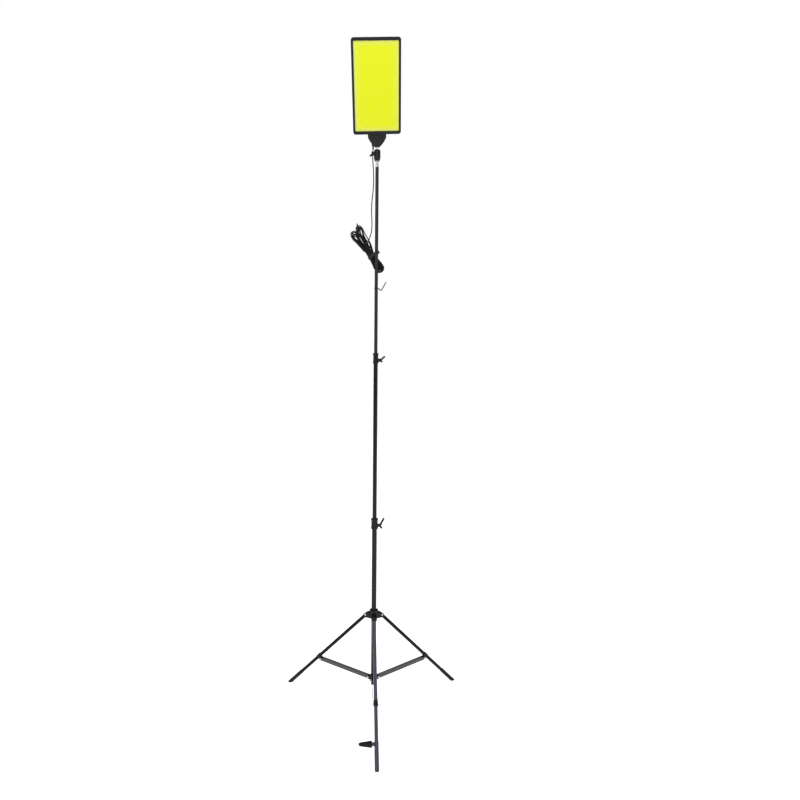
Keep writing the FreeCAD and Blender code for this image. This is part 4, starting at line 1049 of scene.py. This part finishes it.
# %% Strap
STRAP_HEIGHT = 11 * MM
STRAP_THICK = 1.3 * MM
BUNDLE_R = 10.2 * MM
BUNDLE_HALF = 5.0 * MM
MAST_R = 6.5 * MM
BELT_POINTS = 96
BELT_ROWS = 8
STRAP_UNDER = 0.2 * MM
STRAP_OVER = 1.9 * MM
LOOSE_END = (8, 40)
LOOSE_LIFT = 0.8 * MM
LIFT_ARC = 3.0
tie_centre = HANK_TOP + ALONG * TIE_ALONG
mast_across = -tie_centre.x / ACROSS.x
slant = STRAP_HEIGHT / 2 * abs(ALONG.x / ALONG.z) + MAST_R / abs(ALONG.z) - MAST_R
mast_deep = -tie_centre.y
belt_circles = [(-BUNDLE_HALF, 0, BUNDLE_R), (BUNDLE_HALF, 0, BUNDLE_R),
                (mast_across - slant, mast_deep, MAST_R), (mast_across + slant, mast_deep, MAST_R)]


def belt_outline(grow, first=0, last=BELT_POINTS):
    """Points of a taut belt: for each direction, the circle that reaches furthest that way."""
    outline = []
    for number in range(first, last):
        angle = TURN * number / BELT_POINTS
        out = Vector((math.cos(angle), math.sin(angle)))
        x, y, radius = max(belt_circles, key=lambda c: c[0] * out.x + c[1] * out.y + c[2])
        outline.append(Vector((x + (radius + grow) * out.x, y + (radius + grow) * out.y)))
    return outline


def belt_band(form, outline, closed, height, lift=0.0):
    """A band of faces along the outline, standing along the hank, with its length as UV."""
    uv = form.loops.layers.uv.verify()
    ring = []
    for row in range(BELT_ROWS + 1):
        level = (row / BELT_ROWS - 0.5) * height
        ring.append([form.verts.new(tie_centre + ACROSS * p.x + DEEP * p.y
                                    + ALONG * (level + lift * math.sin(LIFT_ARC * i / len(outline))))
                     for i, p in enumerate(outline)])
    steps = [(b - a).length / MM for a, b in zip(outline, outline[1:] + outline[:1])]
    length = np.cumsum([0.0] + steps)
    count = len(outline) if closed else len(outline) - 1
    for row in range(BELT_ROWS):
        for i in range(count):
            after = (i + 1) % len(outline)
            low, high = ring[row], ring[row + 1]
            face = form.faces.new((low[i], low[after], high[after], high[i]))
            spots = ((i, row), (i + 1, row), (i + 1, row + 1), (i, row + 1))
            for loop, (place, level) in zip(face.loops, spots):
                loop[uv].uv = (length[place], level / BELT_ROWS * height / MM)


def strap_mesh():
    """The closed belt, and the loose end that lies over a part of it."""
    form = bmesh.new()
    belt_band(form, belt_outline(STRAP_UNDER), True, STRAP_HEIGHT)
    belt_band(form, belt_outline(STRAP_OVER, *LOOSE_END), False, STRAP_HEIGHT * 0.9, LOOSE_LIFT)
    bmesh.ops.recalc_face_normals(form, faces=form.faces)
    return with_modifiers("hank_strap", mesh_of("hank_strap", form), [
        ("SOLIDIFY", {"thickness": STRAP_THICK, "offset": 1.0}),
        ("BEVEL", {"width": 0.35 * MM, "segments": 2, "limit_method": "ANGLE"}),
    ])


strap = shown("hank_strap", strap_mesh(), "tie_black")
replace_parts(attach(strap, "mast"), "hank_tie")
print("strap faces", len(strap.data.polygons))

# %% [markdown]
# ## Floor
# A plain pale floor, large enough that its far edge meets the white world behind it. It glows a little,
# as a lit studio sweep does, so that no grey edge shows where it ends.

# %% Floor
FLOOR_SIZE = 24.0
FLOOR_GLOW = 0.97


def pale_floor():
    """One large square that only stands under the lamp and is no piece of it."""
    form = bmesh.new()
    bmesh.ops.create_grid(form, x_segments=1, y_segments=1, size=FLOOR_SIZE / 2)
    floor = bpy.data.objects.new("floor", mesh_of("floor", form))
    bpy.context.scene.collection.objects.link(floor)
    graph = Graph("pale floor", Specular_IOR_Level=0.1, Emission_Strength=FLOOR_GLOW,
                  Emission_Color=(1, 1, 1, 1))
    paper = graph.noise(3.0, 3.0)
    graph.surface(Base_Color=graph.blend(paper, (0.93, 0.93, 0.93), (0.96, 0.96, 0.96)),
                  Roughness=0.85 + 0.1 * paper)
    floor.data.materials.append(graph.material)


pale_floor()

# %% [markdown]
# The length of each jacket is measured once more. The last one ends in the plug.

# %% Measure the jackets
FAR_ENDS = (("object", []), ("object", []), ("plug", [plug]))
for jacket, line, (far_end, on_it) in zip(jackets, lengths, FAR_ENDS):
    round(measured(line)[-1], 3)
